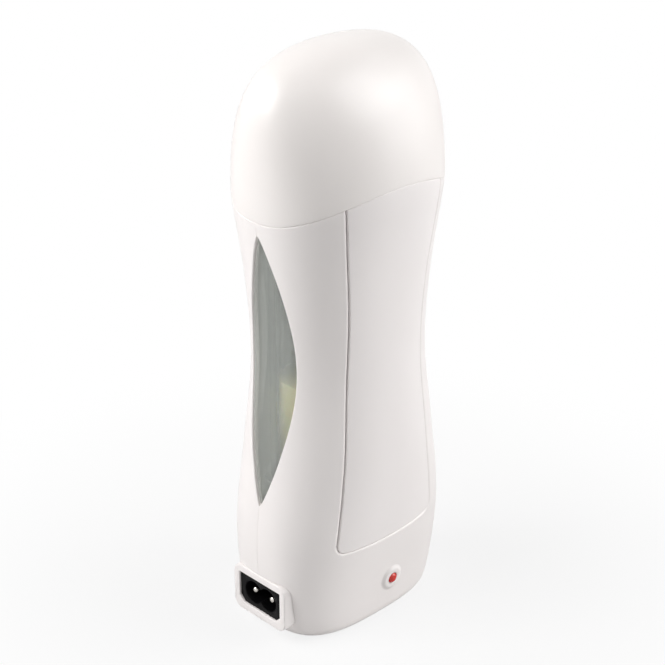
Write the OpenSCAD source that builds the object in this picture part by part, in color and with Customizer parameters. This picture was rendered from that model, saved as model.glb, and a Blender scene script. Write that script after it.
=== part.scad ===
// Roll-on wax heater: a two-shell housing with inlaid front and rear panels and an almond
// window on each narrow side, a cap that lifts off, and a wax cartridge with a roller head
// that stands between two heating plates. Millimetres. The base rests on z = 0, the wide
// front faces -Y and the mains inlet faces -X.

/* [Overall] */
// Height over the cap
height = 205; // [200:1:220]
// Height of the cap's seam on the narrow sides
seam_z = 152.6; // [151:0.2:156]
// How much higher the seam lies on the wide faces
seam_arch = 10; // [5:0.5:12]
// Gap that shows between cap and housing
seam_gap = 0.35; // [0.3:0.05:0.6]

/* [Housing section] */
// Width at the foot
foot_w = 65; // [62:0.5:68]
// Depth at the foot
foot_d = 44; // [43:0.5:47]
// Height of the ankle section
ankle_z = 11.5; // [10:0.5:14]
// Width at the ankle
ankle_w = 74; // [72:0.5:76]
// Depth at the ankle
ankle_d = 44.6; // [44:0.2:47]
// Height of the widest section
bulge_z = 38; // [35:1:42]
// Width at the widest section
bulge_w = 77.6; // [76:0.2:80]
// Depth at the widest section
bulge_d = 50.4; // [49:0.2:53]
// Height of the hip section
hip_z = 68.5; // [64:0.5:73]
// Width at the hip
hip_w = 69.8; // [68:0.2:72]
// Depth at the hip
hip_d = 51.8; // [51:0.2:54]
// Height of the waist section
waist_z = 99; // [95:0.5:103]
// Width at the waist
waist_w = 63.8; // [62.8:0.2:66]
// Depth at the waist
waist_d = 49.4; // [49:0.2:52]
// Height of the chest section
chest_z = 128; // [124:0.5:132]
// Width at the chest
chest_w = 66.4; // [65.4:0.2:69]
// Depth at the chest
chest_d = 51.8; // [51:0.2:54]
// Width at the seam
seam_w = 73; // [72:0.2:76]
// Depth at the seam
seam_d = 56.8; // [56:0.2:59]
// Squareness of the section at the foot, where 2 is an ellipse
foot_square = 3.0; // [2.8:0.1:3.2]
// Squareness at the waist
waist_square = 2.21; // [2.15:0.05:2.5]
// Squareness at the seam
seam_square = 2.26; // [2.15:0.05:2.5]
// Rounding of the base's edge
foot_r = 3.7; // [2.6:0.1:4.5]

/* [Shells] */
// Wall of the two shells
wall = 2.2; // [2:0.1:2.6]
// Thickness of the floor
floor_t = 2.4; // [2:0.1:3.2]
// Width of the ledges that carry the heating cradle
ledge_w = 12; // [8:1:16]
// Height of the ledges
ledge_h = 3; // [2:0.5:4]

/* [Screws] */
// Distance of the two lower screws from the middle plane
low_screw_x = 22; // [20:0.5:23]
// Height of the two lower screws
low_screw_z = 31; // [30.5:0.5:33]
// Distance of the two upper screws from the middle plane, under the rear panel
high_screw_x = 12; // [11.5:0.5:14]
// Height of the two upper screws
high_screw_z = 46; // [44:0.5:46.5]
// Outer diameter of the screw bosses
boss_d = 8; // [7.4:0.2:8.6]
// Diameter of the screws
screw_d = 2.6; // [2.2:0.1:3]
// Depth of the pilot holes in the front shell
pilot_depth = 10; // [8:0.5:13]
// Distance of the screw heads' seats from the parting plane
head_seat_y = 12; // [9:0.5:13]
// Diameter of the screw heads
head_d = 5.2; // [4.6:0.2:5.6]
// Thickness of the screw heads
head_t = 1.6; // [1.4:0.1:2]
// Depth of the cross in the screw heads
cross_depth = 0.6; // [0.5:0.1:0.8]
// Clearance of screws and heads in the rear shell, on the radius
screw_pass = 0.2; // [0.1:0.05:0.3]

/* [Collar] */
// How far the collar's deck lies below the seam
collar_down = 4.4; // [4:0.2:4.8]
// How far the collar stands above the seam on the wide faces
collar_up = 3.5; // [2:0.5:6]
// Clearance between collar and shells
collar_clear = 0.3; // [0.25:0.05:0.4]
// Wall of the collar
collar_wall = 1.8; // [1.4:0.1:2.2]
// Thickness of the collar's deck
deck_t = 2.4; // [2:0.2:3]
// Height of the lip round the cartridge's mouth
lip_h = 1.2; // [0.8:0.2:2]
// Width of that lip
lip_w = 1.6; // [1.2:0.2:1.8]

/* [Cap] */
// Wall of the cap
cap_wall = 2; // [1.8:0.1:2.4]
// Thickness of the cap's crown
crown_t = 2.4; // [2:0.1:3]
// How far the cap swells in width above the seam, as a part of its half width
cap_swell_x = 0.08; // [0:0.01:0.1]
// Power that squares the cap's outline seen from the front
cap_power_x = 4.55; // [4:0.05:5]
// Root that rounds the cap's outline seen from the front
cap_root_x = 2.47; // [2:0.01:3]
// How far the cap swells in depth above the seam, as a part of its half depth
cap_swell_y = 0.1; // [0:0.01:0.12]
// Power that squares the cap's outline seen from the side
cap_power_y = 1.86; // [1.8:0.02:2.4]
// Root that rounds the cap's outline seen from the side
cap_root_y = 2.12; // [1.9:0.02:2.4]

/* [Panels] */
// Height of the panels' bottom edge, before its dip
panel_z = 37.5; // [36:0.5:40]
// How far the bottom edge dips at the middle
panel_dip = 3; // [0:0.5:4]
// Width of the panels at the bottom edge
panel_w_low = 45.6; // [43:0.2:47]
// Width a third of the way up
panel_w_hip = 37.2; // [35:0.2:39]
// Width two thirds of the way up
panel_w_waist = 33.6; // [32:0.2:36]
// Width at the seam
panel_w_seam = 41.4; // [39:0.2:43]
// Rounding of the bottom corners
panel_corner = 3; // [2:0.5:4]
// Thickness of the panels
panel_t = 1.4; // [1.2:0.1:1.6]
// Groove that shows round the panels
panel_groove = 0.4; // [0.3:0.05:0.6]
// Clearance under the panels
panel_seat = 0.1; // [0.05:0.05:0.2]

/* [Windows] */
// Height of the windows' lower tip
window_lo = 51.2; // [49:0.2:53]
// Height of the windows' upper tip
window_hi = 147.8; // [146:0.2:149]
// Half width of the windows
window_half = 10.3; // [9:0.1:11]
// Fullness of the almond, where 1 is a sine
window_full = 0.85; // [0.75:0.05:1.1]
// Gap round the windows
window_gap = 0.2; // [0.15:0.05:0.3]
// Clearance between the windows' flanges and the shells
window_seat = 0.35; // [0.3:0.05:0.5]
// How deep the window lies below the housing's surface
window_sunk = 0.2; // [0.1:0.05:0.4]
// Width of the flange behind the shells
window_flange = 2.2; // [1.6:0.2:2.6]
// Thickness of the flange
window_flange_t = 1.1; // [0.9:0.1:1.4]

/* [Cartridge] */
// Width of the wax cartridge
cart_w = 46; // [44:0.5:47]
// Depth of the wax cartridge
cart_d = 30; // [28:0.5:30.5]
// Corner radius of the cartridge
cart_corner = 13; // [11:0.5:13.5]
// Height of the tank, without its neck
tank_h = 106; // [100:1:112]
// Wall of the tank
tank_wall = 1.2; // [1:0.1:1.6]
// Height of the tank's neck
neck_h = 5; // [4:0.5:6]
// How far the neck is drawn in from the tank's outline
neck_inset = 2.4; // [2.2:0.1:3]
// Height of the wax in the tank
wax_h = 34; // [10:1:95]
// Gap between the wax and the tank's wall
wax_gap = 0.05; // [0.03:0.01:0.1]
// Floor between the tank's neck and the roller's trough
head_floor = 1.4; // [1.2:0.1:2]
// How much higher the roller head's base is than that floor
base_more = 2; // [1:0.5:3]
// How far the roller head is drawn in from the tank's outline
base_inset = 0.4; // [0.3:0.1:0.8]
// Clearance between the neck and the roller head
neck_clear = 0.1; // [0.05:0.05:0.2]
// Wall of the roller head in front of and behind the roller
frame_wall = 1.6; // [1.4:0.1:2]
// Wall outside the roller's stub axles
ear_wall = 1.4; // [1.2:0.1:1.8]
// How far the frame reaches above the roller's axis
frame_up = 3; // [2.6:0.1:4]
// Corner radius of the roller head's frame
frame_r = 6; // [4:0.5:8]
// Length of the slot through which the wax reaches the roller
channel_w = 28; // [20:1:30]
// Width of that slot
channel_d = 5; // [4:0.5:6]
// Diameter of the roller
roller_d = 18; // [16:0.5:19]
// Length of the roller
roller_len = 33; // [30:0.5:35]
// Diameter of the roller's stub axles
axle_d = 4; // [3:0.5:5]
// Length of each stub axle
axle_len = 2.2; // [1.8:0.1:2.6]
// Clearance between a stub axle and its bearing, on the radius
axle_clear = 0.08; // [0.05:0.01:0.1]
// Clearance between the roller and the head's trough
roller_clear = 0.35; // [0.3:0.05:0.6]
// Bevel of the roller's edges
roller_bevel = 0.8; // [0.4:0.1:1.2]

/* [Heating cradle] */
// Clearance between cartridge and cradle
cart_clear = 0.4; // [0.3:0.1:0.6]
// Wall of the cradle
cradle_wall = 1.6; // [1.4:0.1:1.8]
// Height of the cradle's underside
cradle_z = 53; // [51:0.5:55]
// Thickness of the cradle's floor
cradle_floor = 2; // [1.6:0.2:3]
// Thickness of the cradle's flange
cradle_flange_t = 2; // [1.6:0.2:2.6]
// Width of the cradle's flange
cradle_flange_w = 3.6; // [3.2:0.2:4]
// Height left closed below and above the openings towards the windows
sight_margin = 8; // [5:1:14]
// Width of the openings towards the windows
sight_w = 19; // [16:0.5:20]
// Width of the heating plates
plate_w = 22; // [18:0.5:23]
// Height of the heating plates
plate_h = 69; // [62:1:77]
// Height of a heating plate above the cradle's floor
plate_up = 4; // [3.8:0.2:4.6]
// Thickness of the heating plates' flange
plate_flange_t = 1; // [0.8:0.1:1.2]
// Width of the ceramic heating stones
stone_w = 15; // [12:0.5:16]
// Height of each ceramic heating stone
stone_h = 16; // [12:0.5:18]
// Thickness of the ceramic heating stones
stone_t = 1.6; // [1.4:0.1:1.8]
// Number of stones on each plate
stone_count = 3; // [2:1:3]
// Thickness of the electrode strips
strip_t = 0.3; // [0.3:0.05:0.4]
// Thickness of the insulating pads
pad_t = 0.3; // [0.3:0.05:0.4]
// Thickness of the clips
clip_t = 0.5; // [0.4:0.1:0.6]
// Width of the clips
clip_w = 8; // [6:0.5:8.6]
// Height left free at each end of a heating plate
stone_margin = 6; // [5:0.5:8]
// Width of the electrode strips
strip_w = 13; // [10:0.5:14]
// Height of the two ridges that hold the stones
ridge_h = 0.6; // [0.4:0.1:0.8]
// Distance of the wire tabs from the middle plane
tab_x = 9.5; // [9.2:0.1:10]
// Width of the wire tabs
tab_w = 3.5; // [3:0.1:4]
// Thickness of the wire tabs
tab_t = 0.8; // [0.6:0.1:0.9]
// Length of the heating plates' tabs
tab_len = 5; // [4:0.5:5.5]
// Diameter of the thermal fuse
fuse_d = 3; // [2.6:0.1:3.1]
// Length of the thermal fuse
fuse_len = 9; // [8:0.5:11]
// Height of the thermal fuse's lower end
fuse_z = 64; // [63:0.5:70]
// Length of the fuse's leads
fuse_lead = 3; // [2:0.5:3.5]
// Diameter of the leads of fuse, lamp and resistor
lead_d = 0.7; // [0.5:0.1:0.8]
// Diameter of the wires over their insulation
wire_d = 1.5; // [1.2:0.1:1.6]

/* [Mains inlet] */
// Height of the inlet's centre
inlet_z = 15; // [14.8:0.1:15.6]
// Distance of the inlet's front face from the middle of the heater
inlet_x = 38.6; // [38.4:0.1:39.5]
// Width of the inlet's frame
bezel_w = 25.8; // [25:0.2:27]
// Height of the inlet's frame
bezel_h = 18; // [17.4:0.2:18.4]
// Corner radius of the inlet's frame
bezel_r = 3.6; // [2.5:0.1:4]
// Width of the black socket
socket_w = 20.2; // [19.8:0.2:21]
// Height of the black socket
socket_h = 11.8; // [11.4:0.2:12.4]
// Chamfer of the socket's lower corners
socket_chamfer = 2.2; // [1.6:0.2:3]
// How far the socket is sunk in its frame
socket_sunk = 0.8; // [0.4:0.1:1.2]
// Distance of the socket's rear face from the middle of the heater
socket_back = 21; // [20:0.5:22]
// Clearance of the socket in its frame
socket_fit = 0.1; // [0.05:0.05:0.2]
// Clearance of the frame in the shells
bezel_fit = 0.15; // [0.1:0.05:0.25]
// Distance of the frame's inner flange from the middle of the heater
bezel_back = 28.9; // [28.6:0.1:29.1]
// Thickness of that flange
bezel_flange_t = 1.5; // [1.2:0.1:2]
// How far the flange reaches past the frame
bezel_more = 1.2; // [1:0.1:1.4]
// Thickness of the socket's stop
stop_t = 1.4; // [1.2:0.1:2]
// How far the stop reaches past the socket
stop_more = 1; // [0.8:0.1:1.4]
// Depth of the socket's cavity
cavity_depth = 11; // [10:0.5:12]
// Width of the cavity, which is two round holes run together
cavity_w = 15.6; // [15.2:0.1:16]
// Diameter of each round end of the cavity
cavity_d = 8.6; // [8.4:0.1:8.8]
// Distance between the contact pins
pin_pitch = 8.6; // [8.4:0.1:8.8]
// Diameter of the contact pins
pin_d = 2.4; // [2.2:0.1:2.6]
// Length of the pins inside the cavity
pin_len = 9; // [8:0.5:9.5]
// Length of the pins' solder tabs
pin_tab_len = 5; // [4:0.5:6]

/* [Pilot light] */
// Distance of the pilot light from the middle plane
led_x = 4; // [0:0.5:6]
// Height of the pilot light
led_z = 14.2; // [13:0.2:16]
// Diameter of the red lens
led_d = 3.8; // [3:0.2:4.2]
// Diameter of the raised ring round the lens
led_ring_d = 9.6; // [8:0.2:11]
// How far that ring stands proud
led_ring_up = 0.8; // [0.5:0.1:1.2]
// How far the lens stands out of the ring
led_proud = 0.8; // [0.4:0.1:1.4]
// Height of the lens's dome as a part of its radius
led_round = 0.7; // [0.4:0.1:1]
// Clearance of the lens in its hole
led_fit = 0.15; // [0.1:0.05:0.25]
// Thickness of the lamp's rim behind the wall
led_flange_t = 1; // [0.8:0.1:1.4]
// Width of that rim
led_rim = 0.5; // [0.4:0.1:0.8]
// Gap between that rim and the wall
led_seat = 0.3; // [0.2:0.05:0.4]
// Distance between lamp and board
led_standoff = 1.6; // [1.2:0.1:2]
// Distance between the lamp's leads
lead_pitch = 2.5; // [2.4:0.1:2.6]
// Width of the lamp's board
board_w = 16; // [14:0.5:17]
// Height of the lamp's board
board_h = 20; // [18:0.5:21]
// Thickness of the lamp's board
board_t = 1.2; // [1:0.2:1.6]
// Clearance of the board in its ribs
board_fit = 0.1; // [0.05:0.05:0.2]
// Diameter of the lamp's resistor
resistor_d = 2.3; // [2:0.1:2.6]
// Length of the lamp's resistor
resistor_len = 6.2; // [5.5:0.1:7]
// Length of the resistor's straight leads
lead_bend = 1.6; // [1:0.1:2.4]

/* [Hidden] */
$fn = 48;

// ---- Housing section: a superellipse whose half axes follow splines up to the seam ----

foot_z = 0;
waist_square_z = 0.6 * seam_z;
top_square = 2;
dome_ease = 0.12;
width_levels = [
    [foot_z, foot_w / 2], [ankle_z, ankle_w / 2], [bulge_z, bulge_w / 2], [hip_z, hip_w / 2],
    [waist_z, waist_w / 2], [chest_z, chest_w / 2], [seam_z, seam_w / 2]
];
depth_levels = [
    [foot_z, foot_d / 2], [ankle_z, ankle_d / 2], [bulge_z, bulge_d / 2], [hip_z, hip_d / 2],
    [waist_z, waist_d / 2], [chest_z, chest_d / 2], [seam_z, seam_d / 2]
];
square_levels = [
    [foot_z, foot_square], [waist_square_z, waist_square], [seam_z, seam_square], [height, top_square]
];

function mix(a, b, s) = a + (b - a) * s;
// Slope of a level list at its entry i, from its neighbours
function slope_at(v, i) =
    let (lo = max(i - 1, 0), hi = min(i + 1, len(v) - 1)) (v[hi][1] - v[lo][1]) / (v[hi][0] - v[lo][0]);
function span_at(v, z, i = 0) = i >= len(v) - 2 || z < v[i + 1][0] ? i : span_at(v, z, i + 1);
// Smooth curve through a level list
function spline(v, z) =
    let (
        i = span_at(v, z),
        h = v[i + 1][0] - v[i][0],
        s = (z - v[i][0]) / h,
        m0 = slope_at(v, i) * h,
        m1 = slope_at(v, i + 1) * h
    )
    v[i][1] + s * m0 + s * s * (3 * (v[i + 1][1] - v[i][1]) - 2 * m0 - m1)
    + s * s * s * (2 * (v[i][1] - v[i + 1][1]) + m0 + m1);
// Outline of the cap from the seam, u = 0, to its top, u = 1
function dome(u, grow, swell, power, root) =
    (1 + grow * u * exp(-u / dome_ease) + swell * u) * pow(1 - pow(u, power), 1 / root);
function foot_round(z) = z < foot_r ? foot_r - sqrt(foot_r * foot_r - (foot_r - z) * (foot_r - z)) : 0;
function half_axis(v, z, swell, power, root) =
    z <= seam_z
    ? spline(v, z) - foot_round(z)
    : let (
        last = len(v) - 1,
        grow = slope_at(v, last) * (height - seam_z) / v[last][1]
    ) v[last][1] * dome((z - seam_z) / (height - seam_z), grow, swell, power, root);
function half_w(z) = half_axis(width_levels, z, cap_swell_x, cap_power_x, cap_root_x);
function half_d(z) = half_axis(depth_levels, z, cap_swell_y, cap_power_y, cap_root_y);
function squareness(z) = spline(square_levels, z);

// Point of the section at height z, at angle t, sunk by d
function section(t, z, d) =
    let (e = 2 / squareness(z))
    [
        (half_w(z) - d) * sign(cos(t)) * pow(abs(cos(t)), e),
        (half_d(z) - d) * sign(sin(t)) * pow(abs(sin(t)), e),
        z
    ];
// Angle at which the section reaches half width x, or half depth y
function angle_at_x(x, z) = acos(pow(x / half_w(z), squareness(z) / 2));
function angle_at_y(y, z) = asin(pow(y / half_d(z), squareness(z) / 2));

// Rings arch with the seam: none at the foot, a dip at the panels' bottom edge, all at the seam
function lift(r) =
    r < foot_r ? 0
    : r < panel_z ? -panel_dip * (r - foot_r) / (panel_z - foot_r)
    : r < seam_z ? mix(-panel_dip, seam_arch, (r - panel_z) / (seam_z - panel_z))
    : seam_arch * (height - r) / (height - seam_z);
function arch(t, r) = 1 - pow(abs(cos(t)), 4 / squareness(r));
// Point of the housing on the ring named by its height r on the narrow sides
function skin(t, r, d = 0, up = 0) = section(t, r + lift(r) * arch(t, r) + up, d);

// ---- Faces of lofted grids ----

function quad(a, b, c, d, flip = false) = flip ? [[a, c, b], [a, d, c]] : [[a, b, c], [a, c, d]];
function grid(first, rows, cols, flip = false) = [
    for (r = [0:rows - 2], c = [0:cols - 2])
        let (p = first + r * cols + c)
            each quad(p, p + cols, p + cols + 1, p + 1, flip)
];
// Ring of faces between two lists of point numbers
function strip(a, b, flip = false) = [
    for (i = [0:len(a) - 2]) each quad(a[i], b[i], b[i + 1], a[i + 1], flip)
];
function fan(a, flip = false) = [
    for (i = [1:len(a) - 2]) flip ? [a[0], a[i + 1], a[i]] : [a[0], a[i], a[i + 1]]
];
function range(first, step, n) = [for (i = [0:n - 1]) first + i * step];

// ---- Panels ----

panel_levels = [
    [panel_z, panel_w_low / 2],
    [mix(panel_z, seam_z, 1 / 3), panel_w_hip / 2],
    [mix(panel_z, seam_z, 2 / 3), panel_w_waist / 2],
    [seam_z, panel_w_seam / 2]
];
panel_recess = panel_t + panel_seat;
draft = 0.15;
corner_steps = 3;
panel_cols = 8;
side_cols = 5;
function panel_half(r) =
    let (z = max(r, panel_z), k = max(0, panel_corner - (z - panel_z)))
    spline(panel_levels, z) - panel_corner + sqrt(panel_corner * panel_corner - k * k);
// Ring heights through the bottom corners, then up to the seam
corner_rows = [for (i = [1:corner_steps]) panel_z + panel_corner * (1 - cos(90 * i / corner_steps))];
window_steps = 12;
window_rows = [for (i = [0:window_steps]) mix(window_lo, window_hi, (1 - cos(180 * i / window_steps)) / 2)];
upper_rows = concat(
    corner_rows,
    [mix(panel_z + panel_corner, window_lo, 1 / 2)],
    window_rows,
    [seam_z]
);

module front_inlay() {
    rows = concat([panel_z], upper_rows);
    n = panel_cols + 1;
    m = len(rows);
    function column(r, c) =
        let (t = angle_at_x(panel_half(r), r)) mix(180 + t, 360 - t, c / panel_cols);
    top = [for (r = rows, c = [0:panel_cols]) skin(column(r, c), r, 0)];
    under = [for (r = rows, c = [0:panel_cols]) skin(column(r, c), r, panel_t)];
    k = n * m;
    polyhedron(concat(top, under), concat(
        grid(0, m, n),
        grid(k, m, n, true),
        strip(range(0, n, m), range(k, n, m)),
        strip(range(n - 1, n, m), range(k + n - 1, n, m), true),
        strip(range(0, 1, n), range(k, 1, n), true),
        strip(range((m - 1) * n, 1, n), range(k + (m - 1) * n, 1, n))
    ));
}

module front_panel() {
    color("white") front_inlay();
}

module rear_panel() {
    color("white") mirror([0, 1, 0]) front_inlay();
}

// ---- Windows ----

function window_y(r, gap = 0) =
    r <= window_lo || r >= window_hi
    ? 0
    : window_half * pow(sin(180 * (r - window_lo) / (window_hi - window_lo)), window_full) + gap;

module side_window() {
    back = wall + window_seat;
    deep = back + window_flange_t;
    tip = 0.3;
    low = window_lo + 4 * window_gap;
    high = window_hi - 4 * window_gap;
    rows = [for (i = [0:window_steps]) mix(low, high, (1 - cos(180 * i / window_steps)) / 2)];
    function at(r, y, d) = skin(sign(y) * angle_at_y(abs(y), r), r, d);
    function hoop(r) =
        let (h = max(tip, window_y(r)), f = h + window_flange)
        [
            at(r, -h, window_sunk), at(r, -h / 2, window_sunk), at(r, 0, window_sunk),
            at(r, h / 2, window_sunk), at(r, h, window_sunk),
            at(r, h, back), at(r, f, back), at(r, f, deep),
            at(r, h / 2, deep), at(r, 0, deep), at(r, -h / 2, deep),
            at(r, -f, deep), at(r, -f, back), at(r, -h, back)
        ];
    n = 14;
    m = len(rows);
    function lid(k, flip) = [
        for (f = [[0, 1, 2], [0, 2, 3], [0, 3, 4], [0, 4, 5], [0, 5, 13],
            [9, 10, 11], [9, 11, 12], [9, 12, 13], [9, 13, 5], [9, 5, 6], [9, 6, 7], [9, 7, 8]])
            flip ? [f[0] + k, f[2] + k, f[1] + k] : [f[0] + k, f[1] + k, f[2] + k]
    ];
    polyhedron([for (r = rows) each hoop(r)], concat(
        [for (r = [0:m - 2], c = [0:n - 1])
            let (p = r * n, q = (c + 1) % n)
                each quad(p + c, p + n + c, p + n + q, p + q)],
        lid(0, false),
        lid((m - 1) * n, true)
    ));
}

module right_window() {
    color("lightgray") side_window();
}

module left_window() {
    color("lightgray") mirror([1, 0, 0]) side_window();
}

// ---- Skins of the two shells ----

foot_steps = 3;
belly_steps = 4;
below_panel = panel_z - panel_groove - draft;
// Ring heights with a flag that is 1 where the panel's seat is sunk
shell_rows = concat(
    [for (i = [0:foot_steps]) [foot_r * (1 - cos(90 * i / foot_steps)), 0]],
    [for (i = [1:belly_steps]) [mix(foot_r, below_panel, i / belly_steps), 0]],
    [[panel_z - panel_groove, 1]],
    [for (r = upper_rows) [r, 1]]
);
// Angles along a ring, from the window's edge over the panel's seat, with the same flag
function shell_cols(r) =
    let (
        w = window_y(r, window_gap),
        start = 180 + (w > 0 ? angle_at_y(w, r) : 0),
        edge = 180 + angle_at_x(panel_half(r) + panel_groove, r),
        seat = 180 + angle_at_x(panel_half(r) + panel_groove - draft, r),
        left = [for (i = [0:side_cols]) [mix(start, edge, i / side_cols), 0]],
        bed = [for (i = [0:panel_cols]) [mix(seat, 540 - seat, i / panel_cols), 1]]
    )
    concat(left, bed, [for (i = [0:side_cols]) [540 - left[side_cols - i][0], 0]]);
// The inner skin starts on the floor and joins the outer rings above the ankle
function inner_ring(r) = r < ankle_z ? floor_t + r * (ankle_z - floor_t) / ankle_z : r;

module half_skin() {
    m = len(shell_rows);
    n = len(shell_cols(0));
    outer = [for (w = shell_rows, c = shell_cols(w[0])) skin(c[0], w[0], w[1] * c[1] * panel_recess)];
    inner = [
        for (i = [0:m - 1])
            let (
                r = shell_rows[i][0],
                sunk = shell_rows[min(i + 1, m - 1)][1],
                cols = shell_cols(r)
            )
            for (j = [0:n - 1])
                let (bed = max(cols[max(j - 1, 0)][1], cols[min(j + 1, n - 1)][1]))
                skin(cols[j][0], inner_ring(r), wall + sunk * bed * panel_recess)
    ];
    k = m * n;
    polyhedron(concat(outer, inner), concat(
        grid(0, m, n),
        grid(k, m, n, true),
        strip(range(0, n, m), range(k, n, m)),
        strip(range(n - 1, n, m), range(k + n - 1, n, m), true),
        strip(range((m - 1) * n, 1, n), range(k + (m - 1) * n, 1, n)),
        fan(range(0, 1, n)),
        fan(range(k, 1, n), true),
        quad(0, n - 1, k + n - 1, k, true)
    ));
}

// ---- Places shared by the parts inside ----

// Distance of the front surface from the middle plane, at x and height z
function front_y(x, z) =
    let (n = squareness(z)) half_d(z) * pow(1 - pow(abs(x) / half_w(z), n), 1 / n);
deck_z = seam_z - collar_down;
collar_inset = wall + collar_clear;
collar_top = seam_z + seam_arch + collar_up;
cradle_top = deck_z - cradle_flange_t;
ledge_sink = 0.8;
ledge_gap = 1;
tank_z = cradle_z + cradle_floor;
neck_z = tank_z + tank_h;
in_w = cart_w + 2 * cart_clear;
in_d = cart_d + 2 * cart_clear;
in_r = cart_corner + cart_clear;
out_w = in_w + 2 * cradle_wall;
out_d = in_d + 2 * cradle_wall;
out_r = in_r + cradle_wall;
screw_spots = [
    [low_screw_x, low_screw_z], [-low_screw_x, low_screw_z],
    [high_screw_x, high_screw_z], [-high_screw_x, high_screw_z]
];
bore_clear = 0.03;
boss_sink = 0.5;
tiny = 0.01;
// How far a cut runs past the faces that it opens
over = 1;

// Rectangle with round corners, made of true arcs
module round_rect(w, d, r) {
    square([w, d - 2 * r], center = true);
    square([w - 2 * r, d], center = true);
    for (x = [-1, 1], y = [-1, 1])
        translate([x * (w / 2 - r), y * (d / 2 - r)]) circle(r);
}

// Lays a profile drawn in the YZ plane along +X from x
module along_x(x, length) {
    translate([x, 0, 0]) rotate([90, 0, 90]) linear_extrude(length) children();
}

// ---- Shells with their bosses, ledges, ribs and openings ----

// Depth of the panel's seat at a screw spot, 0 outside it
function seat_sunk(p) = p[1] > panel_z && abs(p[0]) < panel_half(p[1]) ? panel_recess : 0;

module screw_boss(p) {
    end = front_y(abs(p[0]) + boss_d / 2, p[1] - boss_d / 2) - seat_sunk(p) - boss_sink;
    translate([p[0], 0, p[1]]) rotate([90, 0, 0]) cylinder(d = boss_d, h = end);
}

module ledge() {
    reach = half_d(cradle_top) - wall - panel_recess + ledge_sink;
    start = out_d / 2 + ledge_gap;
    translate([-ledge_w / 2, -reach, cradle_top - ledge_h]) cube([ledge_w, reach - start, ledge_h]);
}

module inlet_cut() {
    w = bezel_w + 2 * bezel_fit;
    h = bezel_h + 2 * bezel_fit;
    along_x(-inlet_x - 2 * over, inlet_x)
        translate([0, inlet_z]) round_rect(w, h, bezel_r + bezel_fit);
}

led_y = front_y(led_x, led_z);
board_y = led_y - wall - led_flange_t - led_standoff;
rib_w = 2;
rib_h = 9;
rib_d = 5;

module board_rib(x) {
    difference() {
        translate([x - rib_w / 2, -board_y - rib_d / 2 + board_t / 2, floor_t - tiny])
            cube([rib_w, rib_d, rib_h]);
        translate([x - rib_w / 2 - over, -board_y - board_fit, floor_t])
            cube([rib_w + 2 * over, board_t + 2 * board_fit, rib_h + over]);
    }
}

// Raised ring round the pilot light, with a soft outer edge
module led_ring() {
    steps = 6;
    translate([led_x, -led_y + wall / 2, led_z]) rotate([90, 0, 0]) rotate_extrude()
        polygon(concat(
            [[0, 0], [led_ring_d / 2, 0]],
            [for (i = [0:steps])
                [led_ring_d / 2 - led_ring_up * (1 - cos(90 * i / steps)),
                    wall / 2 + led_ring_up * sin(90 * i / steps)]],
            [[0, wall / 2 + led_ring_up]]
        ));
}

module front_shell() {
    color("white") difference() {
        union() {
            half_skin();
            for (p = screw_spots) screw_boss(p);
            ledge();
            for (s = [-1, 1]) board_rib(led_x + s * (board_w / 2 - rib_w));
            led_ring();
        }
        for (p = screw_spots)
            translate([p[0], tiny, p[1]]) rotate([90, 0, 0])
                cylinder(d = screw_d + 2 * bore_clear, h = pilot_depth + tiny);
        translate([led_x, wall + led_flange_t - led_y, led_z]) rotate([90, 0, 0])
            cylinder(d = led_d + 2 * led_fit, h = wall + led_flange_t + led_ring_up + over);
        inlet_cut();
    }
}

module rear_shell() {
    color("white") difference() {
        mirror([0, 1, 0]) {
            half_skin();
            for (p = screw_spots) screw_boss(p);
            ledge();
        }
        for (p = screw_spots) translate([p[0], 0, p[1]]) rotate([-90, 0, 0]) {
            translate([0, 0, -tiny]) cylinder(d = screw_d + 2 * screw_pass, h = head_seat_y + 2 * tiny);
            translate([0, 0, head_seat_y]) cylinder(d = head_d + 2 * screw_pass, h = seam_d / 2);
        }
        inlet_cut();
    }
}

screw_tip_gap = 1;
cross_len = 0.6 * head_d;
cross_w = 0.9;

module shell_screws() {
    color("silver") for (p = screw_spots) translate([p[0], 0, p[1]]) rotate([-90, 0, 0]) {
        translate([0, 0, screw_tip_gap - pilot_depth])
            cylinder(d = screw_d, h = head_seat_y + pilot_depth - screw_tip_gap);
        difference() {
            translate([0, 0, head_seat_y]) cylinder(d = head_d, h = head_t);
            for (a = [0, 90]) translate([0, 0, head_seat_y + head_t]) rotate([0, 0, a])
                cube([cross_len, cross_w, 2 * cross_depth], center = true);
        }
    }
}

// ---- Collar ----

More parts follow.
